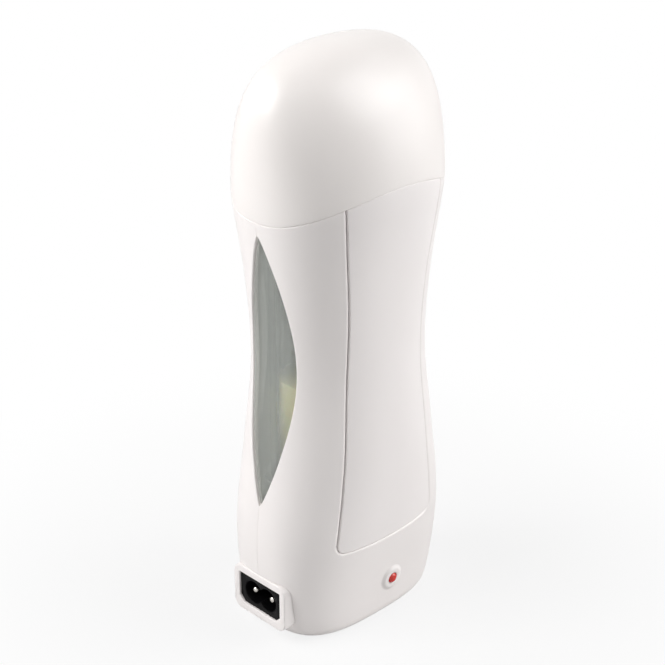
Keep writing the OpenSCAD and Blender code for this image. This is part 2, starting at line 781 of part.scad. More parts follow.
module top_collar() {
    rows = 6;
    cols = 40;
    angles = [for (i = [0:cols - 1]) 360 * i / cols];
    // The collar steps in where the shells' inner skin steps in behind the panels
    seat_span = 90 - (1 - 1 / side_cols) * angle_at_x(panel_half(seam_z) + panel_groove, seam_z);
    function step(t) = abs(abs(t - 180) - 90) < seat_span + 360 / cols ? panel_recess : 0;
    function rim(z, d, at) = [for (t = angles) let (p = section(t, z, d + step(t))) [p[0], p[1], at]];
    rings = concat(
        rim(deck_z, collar_inset, deck_z), rim(seam_z, collar_inset, seam_z),
        rim(seam_z, collar_inset, collar_top), rim(seam_z, collar_inset + collar_wall, collar_top),
        rim(seam_z, collar_inset + collar_wall, seam_z), rim(deck_z, collar_inset + collar_wall, deck_z)
    );
    color("whitesmoke") {
        difference() {
            union() {
                polyhedron(rings, [for (r = [0:rows - 1], c = [0:cols - 1])
                    let (p = r * cols, q = (r + 1) % rows * cols, d = (c + 1) % cols)
                        each quad(p + c, q + c, q + d, p + d)]);
                translate([0, 0, deck_z]) linear_extrude(deck_t)
                    polygon([for (p = rim(deck_z, collar_inset + collar_wall / 2, 0)) [p[0], p[1]]]);
                translate([0, 0, deck_z]) linear_extrude(deck_t + lip_h)
                    round_rect(in_w + 2 * lip_w, in_d + 2 * lip_w, in_r + lip_w);
            }
            translate([0, 0, deck_z - over]) linear_extrude(deck_t + lip_h + 2 * over)
                round_rect(in_w, in_d, in_r);
        }
    }
}

// ---- Heating cradle and its two heaters ----

plate_z = tank_z + plate_up;
cradle_out = out_d / 2;
stone_y = cradle_out + plate_flange_t;
strip_y = stone_y + stone_t;
pad_y = strip_y + strip_t;
clip_y = pad_y + pad_t;
plate_fit = 0.15;
flange_more = 1.5;
stone_pitch = (plate_h - 2 * stone_margin) / stone_count;
clip_foot = 5;
lug_h = 3.6;
lug_wall = 1;
lug_fit = 0.1;
lug_sink = 0.5;
foot_gap = 0.6;
ridge_w = 0.6;
ridge_fit = 0.1;
ridge_x = stone_w / 2 + ridge_fit + ridge_w / 2;
clip_rise = 0.4;
clip_grip = 0.5;

// Loop on the cradle that holds a foot of a clip
module lug(z) {
    difference() {
        translate([-clip_w / 2 - lug_wall - lug_fit, -cradle_out - clip_t - 2 * lug_fit - lug_wall, z])
            cube([clip_w + 2 * (lug_wall + lug_fit), clip_t + 2 * lug_fit + lug_wall + lug_sink, lug_h]);
        translate([-clip_w / 2 - lug_fit, -cradle_out - clip_t - 2 * lug_fit, z - over])
            cube([clip_w + 2 * lug_fit, clip_t + 2 * lug_fit, lug_h + 2 * over]);
    }
}

module cradle_section(more = 0) {
    round_rect(out_w + 2 * more, out_d + 2 * more, out_r + more);
}

module heating_cradle() {
    sight_lo = tank_z + sight_margin;
    sight_hi = cradle_top - sight_margin;
    color("dimgray") difference() {
        union() {
            translate([0, 0, cradle_z]) linear_extrude(cradle_top - cradle_z) cradle_section();
            translate([0, 0, cradle_top]) linear_extrude(cradle_flange_t) cradle_section(cradle_flange_w);
            for (s = [0, 1]) mirror([0, s, 0]) {
                lug(plate_z - flange_more - foot_gap - lug_h);
                lug(plate_z + plate_h + flange_more + foot_gap);
            }
        }
        translate([0, 0, tank_z]) linear_extrude(cradle_top) round_rect(in_w, in_d, in_r);
        translate([-out_w, -sight_w / 2, sight_lo]) cube([2 * out_w, sight_w, sight_hi - sight_lo]);
        translate([-plate_w / 2 - plate_fit, -out_d, plate_z - plate_fit])
            cube([plate_w + 2 * plate_fit, 2 * out_d, plate_h + 2 * plate_fit]);
    }
}

module heat_plate() {
    color("silver") {
        translate([-plate_w / 2, -cradle_out, plate_z]) cube([plate_w, cradle_wall, plate_h]);
        translate([-plate_w / 2 - flange_more, -stone_y, plate_z - flange_more])
            cube([plate_w + 2 * flange_more, plate_flange_t, plate_h + 2 * flange_more]);
        for (s = [-1, 1]) translate([s * ridge_x - ridge_w / 2, -stone_y - ridge_h, plate_z])
            cube([ridge_w, ridge_h + tiny, plate_h]);
        translate([-tab_x - tab_w / 2, -stone_y, plate_z - flange_more - tab_len])
            cube([tab_w, tab_t, tab_len + tiny]);
    }
}

module heating_stones() {
    color("dimgray") for (i = [0:stone_count - 1])
        translate([-stone_w / 2, -strip_y,
            plate_z + stone_margin + (i + 0.5) * stone_pitch - stone_h / 2])
            cube([stone_w, stone_t, stone_h]);
}

module electrode_strip() {
    low = plate_z + stone_margin / 2;
    color("goldenrod") {
        translate([-strip_w / 2, -pad_y, low]) cube([strip_w, strip_t, plate_h - stone_margin]);
        translate([0, -pad_y, low]) cube([tab_x + tab_w / 2, strip_t, tab_w]);
    }
}

module insulating_pad() {
    color("peru") translate([-stone_w / 2, -clip_y, plate_z + stone_margin / 2])
        cube([stone_w, pad_t, plate_h - stone_margin]);
}

module heater_clip() {
    foot_y = cradle_out + lug_fit;
    lo = plate_z - flange_more - foot_gap;
    hi = plate_z + plate_h + flange_more + foot_gap;
    rise_lo = plate_z + stone_margin / 2 - clip_grip;
    rise_hi = plate_z + plate_h - stone_margin / 2 + clip_grip;
    back = [[foot_y, lo - clip_foot], [foot_y, lo], [stone_y + clip_rise, lo + foot_gap / 2],
        [clip_y, rise_lo], [clip_y, rise_hi], [stone_y + clip_rise, hi - foot_gap / 2],
        [foot_y, hi], [foot_y, hi + clip_foot]];
    color("lightsteelblue") along_x(-clip_w / 2, clip_w)
        polygon(concat(
            [for (p = back) [-p[0], p[1]]],
            [for (i = [len(back) - 1:-1:0]) [-back[i][0] - clip_t, back[i][1]]]
        ));
}

module front_heat_plate() { heat_plate(); }
module rear_heat_plate() { mirror([0, 1, 0]) heat_plate(); }
module front_heating_stones() { heating_stones(); }
module rear_heating_stones() { mirror([0, 1, 0]) heating_stones(); }
module front_electrode_strip() { electrode_strip(); }
module rear_electrode_strip() { mirror([0, 1, 0]) electrode_strip(); }
module front_insulating_pad() { insulating_pad(); }
module rear_insulating_pad() { mirror([0, 1, 0]) insulating_pad(); }
module front_heater_clip() { heater_clip(); }
module rear_heater_clip() { mirror([0, 1, 0]) heater_clip(); }

module thermal_fuse() {
    x = -tab_x;
    y = stone_y + fuse_d / 2;
    color("khaki") translate([x, y, fuse_z]) cylinder(d = fuse_d, h = fuse_len);
    color("silver") translate([x, y, fuse_z - fuse_lead])
        cylinder(d = lead_d, h = fuse_len + 2 * fuse_lead);
}

// ---- Tube swept along a hand-laid route ----

wire_sides = 8;
// Solder joint between the end of a wire and its tab
wire_gap = 0.1;
wire_steps = 3;
function along(p, i, s) =
    let (
        n = len(p) - 1,
        a = p[i], b = p[i + 1],
        m0 = (b - p[max(i - 1, 0)]) / 2,
        m1 = (p[min(i + 2, n)] - a) / 2
    )
    a + s * m0 + s * s * (3 * (b - a) - 2 * m0 - m1) + s * s * s * (2 * (a - b) + m0 + m1);
function unit(v) = v / norm(v);

module tube(route, d, side) {
    spans = len(route) - 1;
    path = [
        for (i = [0:spans - 1], k = [0:wire_steps - 1]) along(route, i, k / wire_steps),
        route[spans]
    ];
    m = len(path);
    rings = [for (i = [0:m - 1])
        let (
            t = i == 0 ? unit(route[1] - route[0])
                : i == m - 1 ? unit(route[spans] - route[spans - 1])
                : unit(path[i + 1] - path[i - 1]),
            u = unit(cross(t, side)),
            v = cross(t, u)
        )
        for (k = [0:wire_sides - 1])
            path[i] + d / 2 * (cos(360 * k / wire_sides) * u + sin(360 * k / wire_sides) * v)
    ];
    last = (m - 1) * wire_sides;
    polyhedron(rings, concat(
        [for (r = [0:m - 2], k = [0:wire_sides - 1])
            let (p = r * wire_sides, q = (k + 1) % wire_sides)
                each quad(p + k, p + q, p + wire_sides + q, p + wire_sides + k)],
        fan(range(0, 1, wire_sides), true),
        fan(range(last, 1, wire_sides))
    ));
}

// ---- Mains inlet ----

cavity_x = inlet_x - socket_sunk;
cavity_floor_x = cavity_x - cavity_depth;
bezel_front = inlet_x - bezel_back;

module socket_outline(more = 0) {
    w = socket_w / 2 + more;
    h = socket_h / 2 + more;
    polygon([[-w, h], [w, h], [w, socket_chamfer - h], [w - socket_chamfer, -h],
        [socket_chamfer - w, -h], [-w, socket_chamfer - h]]);
}

module inlet_bezel() {
    color("white") difference() {
        translate([0, 0, inlet_z]) {
            along_x(-inlet_x, bezel_front + tiny) round_rect(bezel_w, bezel_h, bezel_r);
            along_x(-bezel_back, bezel_flange_t)
                round_rect(bezel_w + 2 * bezel_more, bezel_h + 2 * bezel_more, bezel_r + bezel_more);
        }
        translate([0, 0, inlet_z]) along_x(-inlet_x - over, inlet_x) socket_outline(socket_fit);
    }
}

module inlet_socket() {
    color("black") difference() {
        translate([0, 0, inlet_z]) {
            along_x(-cavity_x, cavity_x - socket_back) socket_outline();
            along_x(bezel_flange_t - bezel_back, stop_t) socket_outline(stop_more);
        }
        for (s = [-1, 1]) {
            translate([-cavity_x - over, s * (cavity_w - cavity_d) / 2, inlet_z]) rotate([0, 90, 0])
                cylinder(d = cavity_d, h = cavity_depth + over);
            translate([-cavity_x, s * pin_pitch / 2, inlet_z]) rotate([0, 90, 0])
                cylinder(d = pin_d + 2 * bore_clear, h = cavity_x);
        }
    }
}

// How far the round pins stand out of the socket's rear face
pin_out = 1;

module inlet_pins() {
    color("silver") for (s = [-1, 1]) translate([0, s * pin_pitch / 2, inlet_z]) {
        translate([-cavity_floor_x - pin_len, 0, 0]) rotate([0, 90, 0])
            cylinder(d = pin_d, h = pin_len + cavity_floor_x - socket_back + pin_out);
        translate([-cavity_floor_x - pin_len, 0, 0]) sphere(d = pin_d);
        translate([-socket_back, -tab_t / 2, -pin_d / 2]) cube([pin_tab_len, tab_t, pin_d]);
    }
}

// ---- Pilot light ----

led_tip_y = led_y + led_ring_up + led_proud;
flange_y = led_y - wall - led_seat;

module led_lamp() {
    steps = 6;
    bulb = led_d / 2;
    color("red") translate([led_x, 0, led_z]) rotate([90, 0, 0]) {
        rotate_extrude() polygon(concat(
            [[0, flange_y - led_flange_t], [bulb + led_rim, flange_y - led_flange_t],
                [bulb + led_rim, flange_y], [bulb, flange_y]],
            [for (i = [0:steps])
                [bulb * cos(90 * i / steps), led_tip_y - bulb * led_round * (1 - sin(90 * i / steps))]]
        ));
        for (s = [-1, 1])
            translate([s * lead_pitch / 2, 0, board_y]) cylinder(d = lead_d, h = led_standoff + tiny);
    }
}

module led_board() {
    color("darkgreen") translate([led_x - board_w / 2, -board_y, floor_t])
        cube([board_w, board_t, board_h]);
}

module led_resistor() {
    y = -board_y + board_t + resistor_d / 2;
    z = floor_t + board_h - resistor_d;
    color("tan") translate([led_x - resistor_len / 2, y, z]) rotate([0, 90, 0])
        cylinder(d = resistor_d, h = resistor_len);
    color("silver") {
        translate([led_x - resistor_len / 2 - lead_bend, y, z]) rotate([0, 90, 0])
            cylinder(d = lead_d, h = resistor_len + 2 * lead_bend);
        for (s = [-1, 1]) translate([led_x + s * (resistor_len / 2 + lead_bend), -board_y + board_t, z])
            rotate([-90, 0, 0]) cylinder(d = lead_d, h = resistor_d / 2 + lead_d / 2);
    }
}

// ---- Wires between inlet, fuse, plates and strips ----

tab_end_x = -socket_back + pin_tab_len;
live_y = pin_pitch / 2;
plate_tab_z = plate_z - flange_more - tab_len;
plate_tab_y = stone_y - tab_t / 2;
strip_tab_z = plate_z + stone_margin / 2;
strip_tab_y = strip_y + strip_t / 2;
fuse_y = stone_y + fuse_d / 2;
fuse_lead_z = fuse_z - fuse_lead;
// Distance of a wire from the middle of the plate's tab that it shares
tab_side = 0.6 * wire_d;

// From the live pin to the fuse on the rear heater
module live_wire() {
    color("brown") tube([
        [tab_end_x + wire_gap, live_y, inlet_z], [-13, live_y, inlet_z], [-9, 6, 17],
        [-5, 10, 24], [-2, 15, 36], [-3, 17.6, 46],
        [-7.6, fuse_y - 0.6, fuse_lead_z - 6], [-tab_x, fuse_y, fuse_lead_z - 2],
        [-tab_x, fuse_y, fuse_lead_z - wire_gap]
    ], wire_d, [0.3, 1, 0.1]);
}

// From the neutral pin to the front heating plate
module neutral_wire() {
    x = -tab_x + tab_side;
    color("steelblue") tube([
        [tab_end_x + wire_gap, -live_y, inlet_z], [-13, -live_y, inlet_z], [-9, -5, 17],
        [-5, -8, 26], [-3, -13, 38], [-4, -15.6, 46],
        [-6.6, -16.8, 50.4], [x, -plate_tab_y, plate_tab_z - 1],
        [x, -plate_tab_y, plate_tab_z - wire_gap]
    ], wire_d, [0.3, 1, 0.1]);
}

// From one electrode strip to the other, under the cradle
module strip_wire() {
    x = tab_x;
    color("brown") tube([
        [x, -strip_tab_y, strip_tab_z - wire_gap], [x, -strip_tab_y, strip_tab_z - 3], [8, -18.6, 54],
        [4.5, -16, 49], [3, -8, 46.5], [3, 0, 46], [3, 8, 46.5], [4.5, 16, 49], [8, 18.6, 54],
        [x, strip_tab_y, strip_tab_z - 3], [x, strip_tab_y, strip_tab_z - wire_gap]
    ], wire_d, [1, 0.05, 0.05]);
}

// From one heating plate to the other, under the cradle
module plate_wire() {
    x = -tab_x - tab_side;
    color("steelblue") tube([
        [x, -plate_tab_y, plate_tab_z - wire_gap], [x, -plate_tab_y, plate_tab_z - 1.2],
        [-9.2, -13.5, 50.8], [-7, -7, 48.6], [-6.6, 0, 48], [-7, 7, 48.6], [-9.2, 13.5, 50.8],
        [x, plate_tab_y, plate_tab_z - 1.2], [x, plate_tab_y, plate_tab_z - wire_gap]
    ], wire_d, [1, 0.05, 0.05]);
}

// ---- Cartridge ----

module tank_section(more = 0) {
    round_rect(cart_w + 2 * more, cart_d + 2 * more, cart_corner + more);
}

module cartridge_tank() {
    color("gainsboro") difference() {
        union() {
            translate([0, 0, tank_z]) linear_extrude(tank_h) tank_section();
            translate([0, 0, neck_z]) linear_extrude(neck_h) tank_section(-neck_inset);
        }
        translate([0, 0, tank_z + tank_wall]) linear_extrude(tank_h - 2 * tank_wall)
            tank_section(-tank_wall);
        translate([0, 0, neck_z - tank_wall - over]) linear_extrude(neck_h + tank_wall + 2 * over)
            tank_section(-neck_inset - tank_wall);
    }
}

module wax_fill() {
    color("gold") translate([0, 0, tank_z + tank_wall]) linear_extrude(wax_h)
        tank_section(-tank_wall - wax_gap);
}

trough_r = roller_d / 2 + roller_clear;
trough_len = roller_len + 2 * roller_clear;
roller_z = neck_z + neck_h + head_floor + trough_r;
frame_w = trough_len + 2 * (axle_len + ear_wall);
frame_d = 2 * (trough_r + frame_wall);
axle_reach = roller_len / 2 + axle_len + roller_clear;

module roller_head() {
    base_top = neck_z + neck_h + head_floor + base_more;
    color("white") difference() {
        union() {
            translate([0, 0, neck_z]) linear_extrude(base_top - neck_z) tank_section(-base_inset);
            translate([0, 0, neck_z]) linear_extrude(roller_z + frame_up - neck_z)
                round_rect(frame_w, frame_d, frame_r);
        }
        translate([0, 0, neck_z - over]) linear_extrude(neck_h + neck_clear + over)
            tank_section(neck_clear - neck_inset);
        translate([-trough_len / 2, 0, roller_z]) rotate([0, 90, 0]) cylinder(r = trough_r, h = trough_len);
        translate([-axle_reach, 0, roller_z]) rotate([0, 90, 0])
            cylinder(r = axle_d / 2 + axle_clear, h = 2 * axle_reach);
        translate([-channel_w / 2, -channel_d / 2, neck_z])
            cube([channel_w, channel_d, neck_h + head_floor + 2 * over]);
    }
}

module roller() {
    r = roller_d / 2;
    axle_r = axle_d / 2;
    end = roller_len / 2;
    tip = end + axle_len;
    color("lavender") translate([0, 0, roller_z]) rotate([0, 90, 0]) rotate_extrude()
        polygon([
            [0, -tip], [axle_r, -tip], [axle_r, -end], [r - roller_bevel, -end], [r, roller_bevel - end],
            [r, end - roller_bevel], [r - roller_bevel, end], [axle_r, end], [axle_r, tip], [0, tip]
        ]);
}

// ---- Cap ----

module cap() {
    cols = 40;
    steps = 12;
    last = 0.9985;
    kx = 1 - 2 * cap_wall / seam_w;
    ky = 1 - 2 * cap_wall / seam_d;
    angles = [for (i = [0:cols - 1]) 360 * i / cols];
    // Point u of the way up the outer skin; the last ring is a small flat on the crown
    function outer(t, u) =
        let (p = skin(t, mix(seam_z, height, u * last), 0, seam_gap * (1 - u)))
        [p[0], p[1], p[2] + (height - seam_z) * (1 - last) * u];
    function inner(t, u) = let (p = outer(t, u)) [p[0] * kx, p[1] * ky, p[2] - crown_t * u];
    ups = [for (i = [0:steps]) sin(90 * i / steps)];
    n = cols * (steps + 1);
    function around(first) = [for (c = [0:cols]) first + c % cols];
    function skin_faces(first, flip) = [
        for (r = [0:steps - 1]) each strip(around(first + r * cols), around(first + (r + 1) * cols), flip)
    ];
    color("white") polyhedron(
        concat([for (u = ups, t = angles) outer(t, u)], [for (u = ups, t = angles) inner(t, u)]),
        concat(
            skin_faces(0, false),
            skin_faces(n, true),
            strip(around(0), around(n), true),
            fan(range(steps * cols, 1, cols), true),
            fan(range(n + steps * cols, 1, cols))
        )
    );
}

front_shell();
rear_shell();
front_panel();
rear_panel();
left_window();
right_window();
shell_screws();
top_collar();
heating_cradle();
front_heat_plate();
rear_heat_plate();
front_heating_stones();
rear_heating_stones();
front_electrode_strip();
rear_electrode_strip();
front_insulating_pad();
rear_insulating_pad();
front_heater_clip();
rear_heater_clip();
thermal_fuse();
inlet_bezel();
inlet_socket();
inlet_pins();
led_lamp();
led_board();
led_resistor();
live_wire();
neutral_wire();
strip_wire();
plate_wire();
cap();
cartridge_tank();
wax_fill();
roller_head();
roller();
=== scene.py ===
"""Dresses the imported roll-on wax heater: glossy white ABS shells with inlaid panels and smoked
windows, the heated cartridge inside, the cap, the mains inlet and the pilot light.
Metres in Blender; the sizes below are written in millimetres."""

import bmesh
import bpy
import numpy as np
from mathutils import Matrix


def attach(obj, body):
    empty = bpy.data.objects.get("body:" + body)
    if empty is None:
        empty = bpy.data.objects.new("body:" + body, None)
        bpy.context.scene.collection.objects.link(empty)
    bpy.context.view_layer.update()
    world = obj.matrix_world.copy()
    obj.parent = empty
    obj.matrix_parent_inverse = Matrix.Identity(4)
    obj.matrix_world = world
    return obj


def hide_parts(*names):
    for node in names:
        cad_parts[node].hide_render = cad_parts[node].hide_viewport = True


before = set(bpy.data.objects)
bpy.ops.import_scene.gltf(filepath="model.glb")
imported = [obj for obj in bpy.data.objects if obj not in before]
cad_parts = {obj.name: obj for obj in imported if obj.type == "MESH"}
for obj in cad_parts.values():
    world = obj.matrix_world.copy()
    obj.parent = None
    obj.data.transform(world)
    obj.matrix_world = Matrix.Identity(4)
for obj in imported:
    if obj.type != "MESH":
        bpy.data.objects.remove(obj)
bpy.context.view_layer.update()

# ---------------------------------------------------------------------------------------------
# Housing shells: two halves injection moulded in white ABS, polished in the tool, parted at
# y = 0 and screwed together from behind. A waisted superellipse section, a seat sunk into each
# wide face for a panel, half of each almond window's hole, and a rim that arches at the seam.
MM = 0.001
SEAM, ARCH, TOP = 152.6, 10.0, 205.0  # seam on the narrow side, its rise, and the cap's top
WALL, FLOOR = 2.2, 2.4
FOOT_R, FLOOR_RUN = 3.7, 11.5  # rounding of the foot, and where the floor's slope ends inside
DOME_EASE = 0.12  # part of the cap's height in which the body's slope dies out
WIDTHS = np.array([(0, 65), (11.5, 74), (38, 77.6), (68.5, 69.8), (99, 63.8), (128, 66.4),
                   (SEAM, 73)])
DEPTHS = np.array([(0, 44), (11.5, 44.6), (38, 50.4), (68.5, 51.8), (99, 49.4), (128, 51.8),
                   (SEAM, 56.8)])
SQUARES = np.array([(0, 3.0), (0.6 * SEAM, 2.21), (SEAM, 2.26), (TOP, 2.0)])
PANEL_Z, PANEL_DIP, PANEL_CORNER, GROOVE, SEAT = 37.5, 3.0, 3.0, 0.4, 1.5
PANEL_WIDTHS = np.array([(PANEL_Z, 45.6), (PANEL_Z + (SEAM - PANEL_Z) / 3, 37.2),
                         (PANEL_Z + (SEAM - PANEL_Z) * 2 / 3, 33.6), (SEAM, 41.4)])
WINDOW_LO, WINDOW_HI, WINDOW_HALF, WINDOW_FULL, WINDOW_GAP = 51.2, 147.8, 10.3, 0.85, 0.2
INLET_Z, INLET_W, INLET_H, INLET_R, INLET_GAP = 15.0, 25.8, 18.0, 3.6, 0.15
LED_X, LED_Z, LED_HOLE, LENS_R = 4.0, 14.2, 2.3, 1.9
RING_UP, RING_OUT, RING_RUN = 0.8, 5.2, 1.8  # the ring's height, outer radius and slope's width
BOSS_R, SCREW_HOLE, SCREW_SEAT, PILOT_DEPTH = 4.0, 2.8, 12.0, 10.0
SCREW_CLEAR, SCREW_PILOT = 1.5, 1.33  # bores in the rear and front bosses
LOW_SCREW, HIGH_SCREW = (22.0, 31.0), (12.0, 46.0)

# A rounded edge is drawn at five turns: how far out and how deep each is, as parts of its radius.
TURNS = np.radians([90, 62, 36, 14, 0])
ROUND_OUT, ROUND_DOWN = 1 - np.sin(TURNS), 1 - np.cos(TURNS)


def slopes(levels):
    """Slope at each level: the line through its two neighbours, or through one at an end."""
    lo = np.maximum(np.arange(len(levels)) - 1, 0)
    hi = np.minimum(np.arange(len(levels)) + 1, len(levels) - 1)
    return (levels[hi, 1] - levels[lo, 1]) / (levels[hi, 0] - levels[lo, 0])


def spline(levels, z):
    """Cubic Hermite curve through (height, value) levels, with those slopes."""
    z = np.asarray(z, float)
    m = slopes(levels)
    i = np.clip(np.searchsorted(levels[:, 0], z, side="right") - 1, 0, len(levels) - 2)
    h = levels[i + 1, 0] - levels[i, 0]
    s = (z - levels[i, 0]) / h
    a, b = levels[i, 1], levels[i + 1, 1]
    m0, m1 = m[i] * h, m[i + 1] * h
    return a + s * m0 + s**2 * (3 * (b - a) - 2 * m0 - m1) + s**3 * (2 * (a - b) + m0 + m1)


def half_axis(levels, z, swell, power, root):
    """Half width or depth: half the spline less the foot's quarter circle, and above the seam
    the cap's dome, (1 - u^power)^(1/root) swollen by u and started at the spline's slope."""
    z = np.asarray(z, float)
    inset = FOOT_R - np.sqrt(np.maximum(FOOT_R**2 - np.maximum(FOOT_R - z, 0) ** 2, 0))
    below = spline(levels, np.clip(z, 0, SEAM)) / 2 - inset
    u = np.clip((z - SEAM) / (TOP - SEAM), 0, 1)
    grow = slopes(levels)[-1] * (TOP - SEAM) / levels[-1, 1]
    dome = (1 + grow * u * np.exp(-u / DOME_EASE) + swell * u) * (1 - u**power) ** (1 / root)
    return np.where(z <= SEAM, below, levels[-1, 1] / 2 * dome)


def half_w(z):
    """Half width at height z, up to the top of the cap."""
    return half_axis(WIDTHS, z, swell=0.08, power=4.55, root=2.47)


def half_d(z):
    """Half depth at height z, up to the top of the cap."""
    return half_axis(DEPTHS, z, swell=0.10, power=1.86, root=2.12)


def skin(a, r, d=0.0, up=0.0):
    """Point of the housing: ring r (its height on the narrow side) arches by lift(r) towards the
    wide faces; a runs from 0 at the front middle to 90 degrees at the -X side. Superellipse
    x = -w sin^e a, y = -d cos^e a with e = 2 / squareness; d sinks it below the outer face."""
    a, r, d = np.broadcast_arrays(np.asarray(a, float), np.asarray(r, float), np.asarray(d, float))
    lift = np.where(r < FOOT_R, 0, np.where(
        r < PANEL_Z, -PANEL_DIP * (r - FOOT_R) / (PANEL_Z - FOOT_R), np.where(
            r < SEAM, -PANEL_DIP + (ARCH + PANEL_DIP) * (r - PANEL_Z) / (SEAM - PANEL_Z),
            ARCH * (TOP - r) / (TOP - SEAM))))
    s, c = np.sin(np.radians(a)), np.cos(np.radians(a))
    z = r + lift * (1 - np.abs(s) ** (4 / spline(SQUARES, r))) + up
    e = 2 / spline(SQUARES, np.minimum(z, TOP))
    return np.stack([-(half_w(z) - d) * np.sign(s) * np.abs(s) ** e,
                     -(half_d(z) - d) * np.sign(c) * np.abs(c) ** e, z], -1)


def a_at_x(x, z):
    """Angle where the section at height z is x from the middle: sin a = (x / w)^(n / 2)."""
    return np.degrees(np.arcsin(np.clip(x / half_w(z), 0, 1) ** (spline(SQUARES, z) / 2)))


def a_at_y(y, z):
    """Angle where the section at height z is y from the parting: cos a = (y / d)^(n / 2)."""
    return np.degrees(np.arccos(np.clip(y / half_d(z), 0, 1) ** (spline(SQUARES, z) / 2)))


# Table of distances along each ring from the front middle, to lay out grids in millimetres, and
# the angles at 600 equal shares of each ring's quarter.
ring_r = np.linspace(0, SEAM, 306)
ring_a = 45 * (1 - np.cos(np.linspace(0, np.pi, 500)))
ring_p = skin(ring_a[None, :], ring_r[:, None])
ring_q = np.concatenate([np.zeros((len(ring_r), 1)),
                         np.cumsum(np.linalg.norm(np.diff(ring_p, axis=1), axis=2), 1)], 1)
ring_f = np.stack([np.interp(np.linspace(0, 1, 600), q / q[-1], ring_a) for q in ring_q])
LAST_RING, LAST_SHARE = len(ring_r) - 1.001, 598.999  # just short of the last entries


def quarter_length(r):
    """Length of a quarter of ring r, from the front middle to the parting edge."""
    return np.interp(r, ring_r, ring_q[:, -1])


def a_at_q(q, r):
    """Angle at distance q along ring r, read between the four nearest table entries."""
    i = np.clip(r / ring_r[1], 0, LAST_RING)
    k = np.clip(q / quarter_length(r), 0, 1) * LAST_SHARE
    i0, k0 = i.astype(int), k.astype(int)
    u, v = i - i0, k - k0
    return ((ring_f[i0, k0] * (1 - u) + ring_f[i0 + 1, k0] * u) * (1 - v)
            + (ring_f[i0, k0 + 1] * (1 - u) + ring_f[i0 + 1, k0 + 1] * u) * v)


def q_at_a(a, r):
    """Distance along ring r at angle a, read between the two nearest rings."""
    i = np.clip(np.asarray(r, float) / ring_r[1], 0, LAST_RING)
    i0 = i.astype(int)
    pairs = list(zip(np.ravel(a), np.ravel(i0)))
    lo = np.array([np.interp(x, ring_a, ring_q[j]) for x, j in pairs])
    hi = np.array([np.interp(x, ring_a, ring_q[j + 1]) for x, j in pairs])
    u = np.ravel(i - i0)
    return (lo * (1 - u) + hi * u).reshape(np.shape(a))


def panel_half(r):
    """Half width of the panel at ring r, from a spline through four widths."""
    return spline(PANEL_WIDTHS, np.clip(r, PANEL_Z, SEAM)) / 2


def panel_outline(grow, rows, corner, bottom):
    """Left half of the panel's outline in (q, r), from the seam down the side, round a corner of
    radius PANEL_CORNER + grow and along the bottom edge to the middle, grown by grow."""
    radius = PANEL_CORNER + grow
    r_c = PANEL_Z + PANEL_CORNER
    side_x = panel_half(rows) + grow
    x_c = float(panel_half(r_c)) + grow - radius
    turn = np.linspace(0, np.pi / 2, corner + 1)[1:]
    x = np.concatenate([side_x, x_c + radius * np.cos(turn), np.linspace(x_c, 0, bottom + 1)[1:]])
    r = np.concatenate([rows, r_c - radius * np.sin(turn), np.full(bottom, PANEL_Z - grow)])
    return np.stack([q_at_a(a_at_x(x, r), r), r], -1)


def outward(curve):
    """Unit normals of a curve in (q, r), from its tangents turned a quarter."""
    t = np.gradient(curve, axis=0)
    t /= np.linalg.norm(t, axis=1)[:, None]
    return np.stack([-t[:, 1], t[:, 0]], -1)


def window_half(r, gap=0.0):
    """Half width of the almond hole: a sine of the height raised to WINDOW_FULL, plus a gap."""
    u = np.clip((r - WINDOW_LO) / (WINDOW_HI - WINDOW_LO), 0, 1)
    w = WINDOW_HALF * np.sin(np.pi * u) ** WINDOW_FULL
    return np.where((u > 0) & (u < 1), w + gap, 0)


def rounding(dist, radius):
    """Depth of a rounded edge at a distance from it: a quarter circle of that radius."""
    x = np.clip(1 - dist / radius, 0, 1)
    return radius * (1 - np.sqrt(1 - x * x))


def inner_ring(r):
    """Ring of the inner skin behind ring r: lifted by the floor at the foot, and by nothing from
    FLOOR_RUN on."""
    return np.where(r < FLOOR_RUN, FLOOR + r * (FLOOR_RUN - FLOOR) / FLOOR_RUN, r)


def add_grid(points, faces, block):
    """Appends a rows x columns block of points and its quads; returns the point numbers."""
    rows, cols = block.shape[:2]
    first = sum(len(p) for p in points)
    ids = first + np.arange(rows * cols).reshape(rows, cols)
    points.append(block.reshape(-1, 3))
    quads = np.stack([ids[:-1, :-1], ids[:-1, 1:], ids[1:, 1:], ids[1:, :-1]], -1)
    faces.append(quads.reshape(-1, 4))
    return ids


def close(faces, one, other):
    """Appends a strip of quads between two rows of point numbers."""
    faces.append(np.stack([one[:-1], other[:-1], other[1:], one[1:]], -1))


MERGE, SHARP = 0.002, 38  # distance within which points are one, and angle of a sharp edge


def build(name, points, faces):
    """Mesh object from lists of point and quad blocks in millimetres: doubles merged, faces
    turned outwards, smooth but for edges over the sharp angle."""
    me = bpy.data.meshes.new(name)
    me.from_pydata(np.concatenate(points) * MM, [], np.concatenate(faces).tolist())
    bm = bmesh.new()
    bm.from_mesh(me)
    bmesh.ops.remove_doubles(bm, verts=bm.verts, dist=MERGE * MM)
    bmesh.ops.dissolve_degenerate(bm, dist=1e-7, edges=bm.edges)
    bmesh.ops.recalc_face_normals(bm, faces=bm.faces)
    bm.to_mesh(me)
    bm.free()
    me.polygons.foreach_set("use_smooth", np.ones(len(me.polygons), bool))
    me.set_sharp_from_angle(angle=np.radians(SHARP))
    piece = bpy.data.objects.new(name, me)
    bpy.context.scene.collection.objects.link(piece)
    return piece


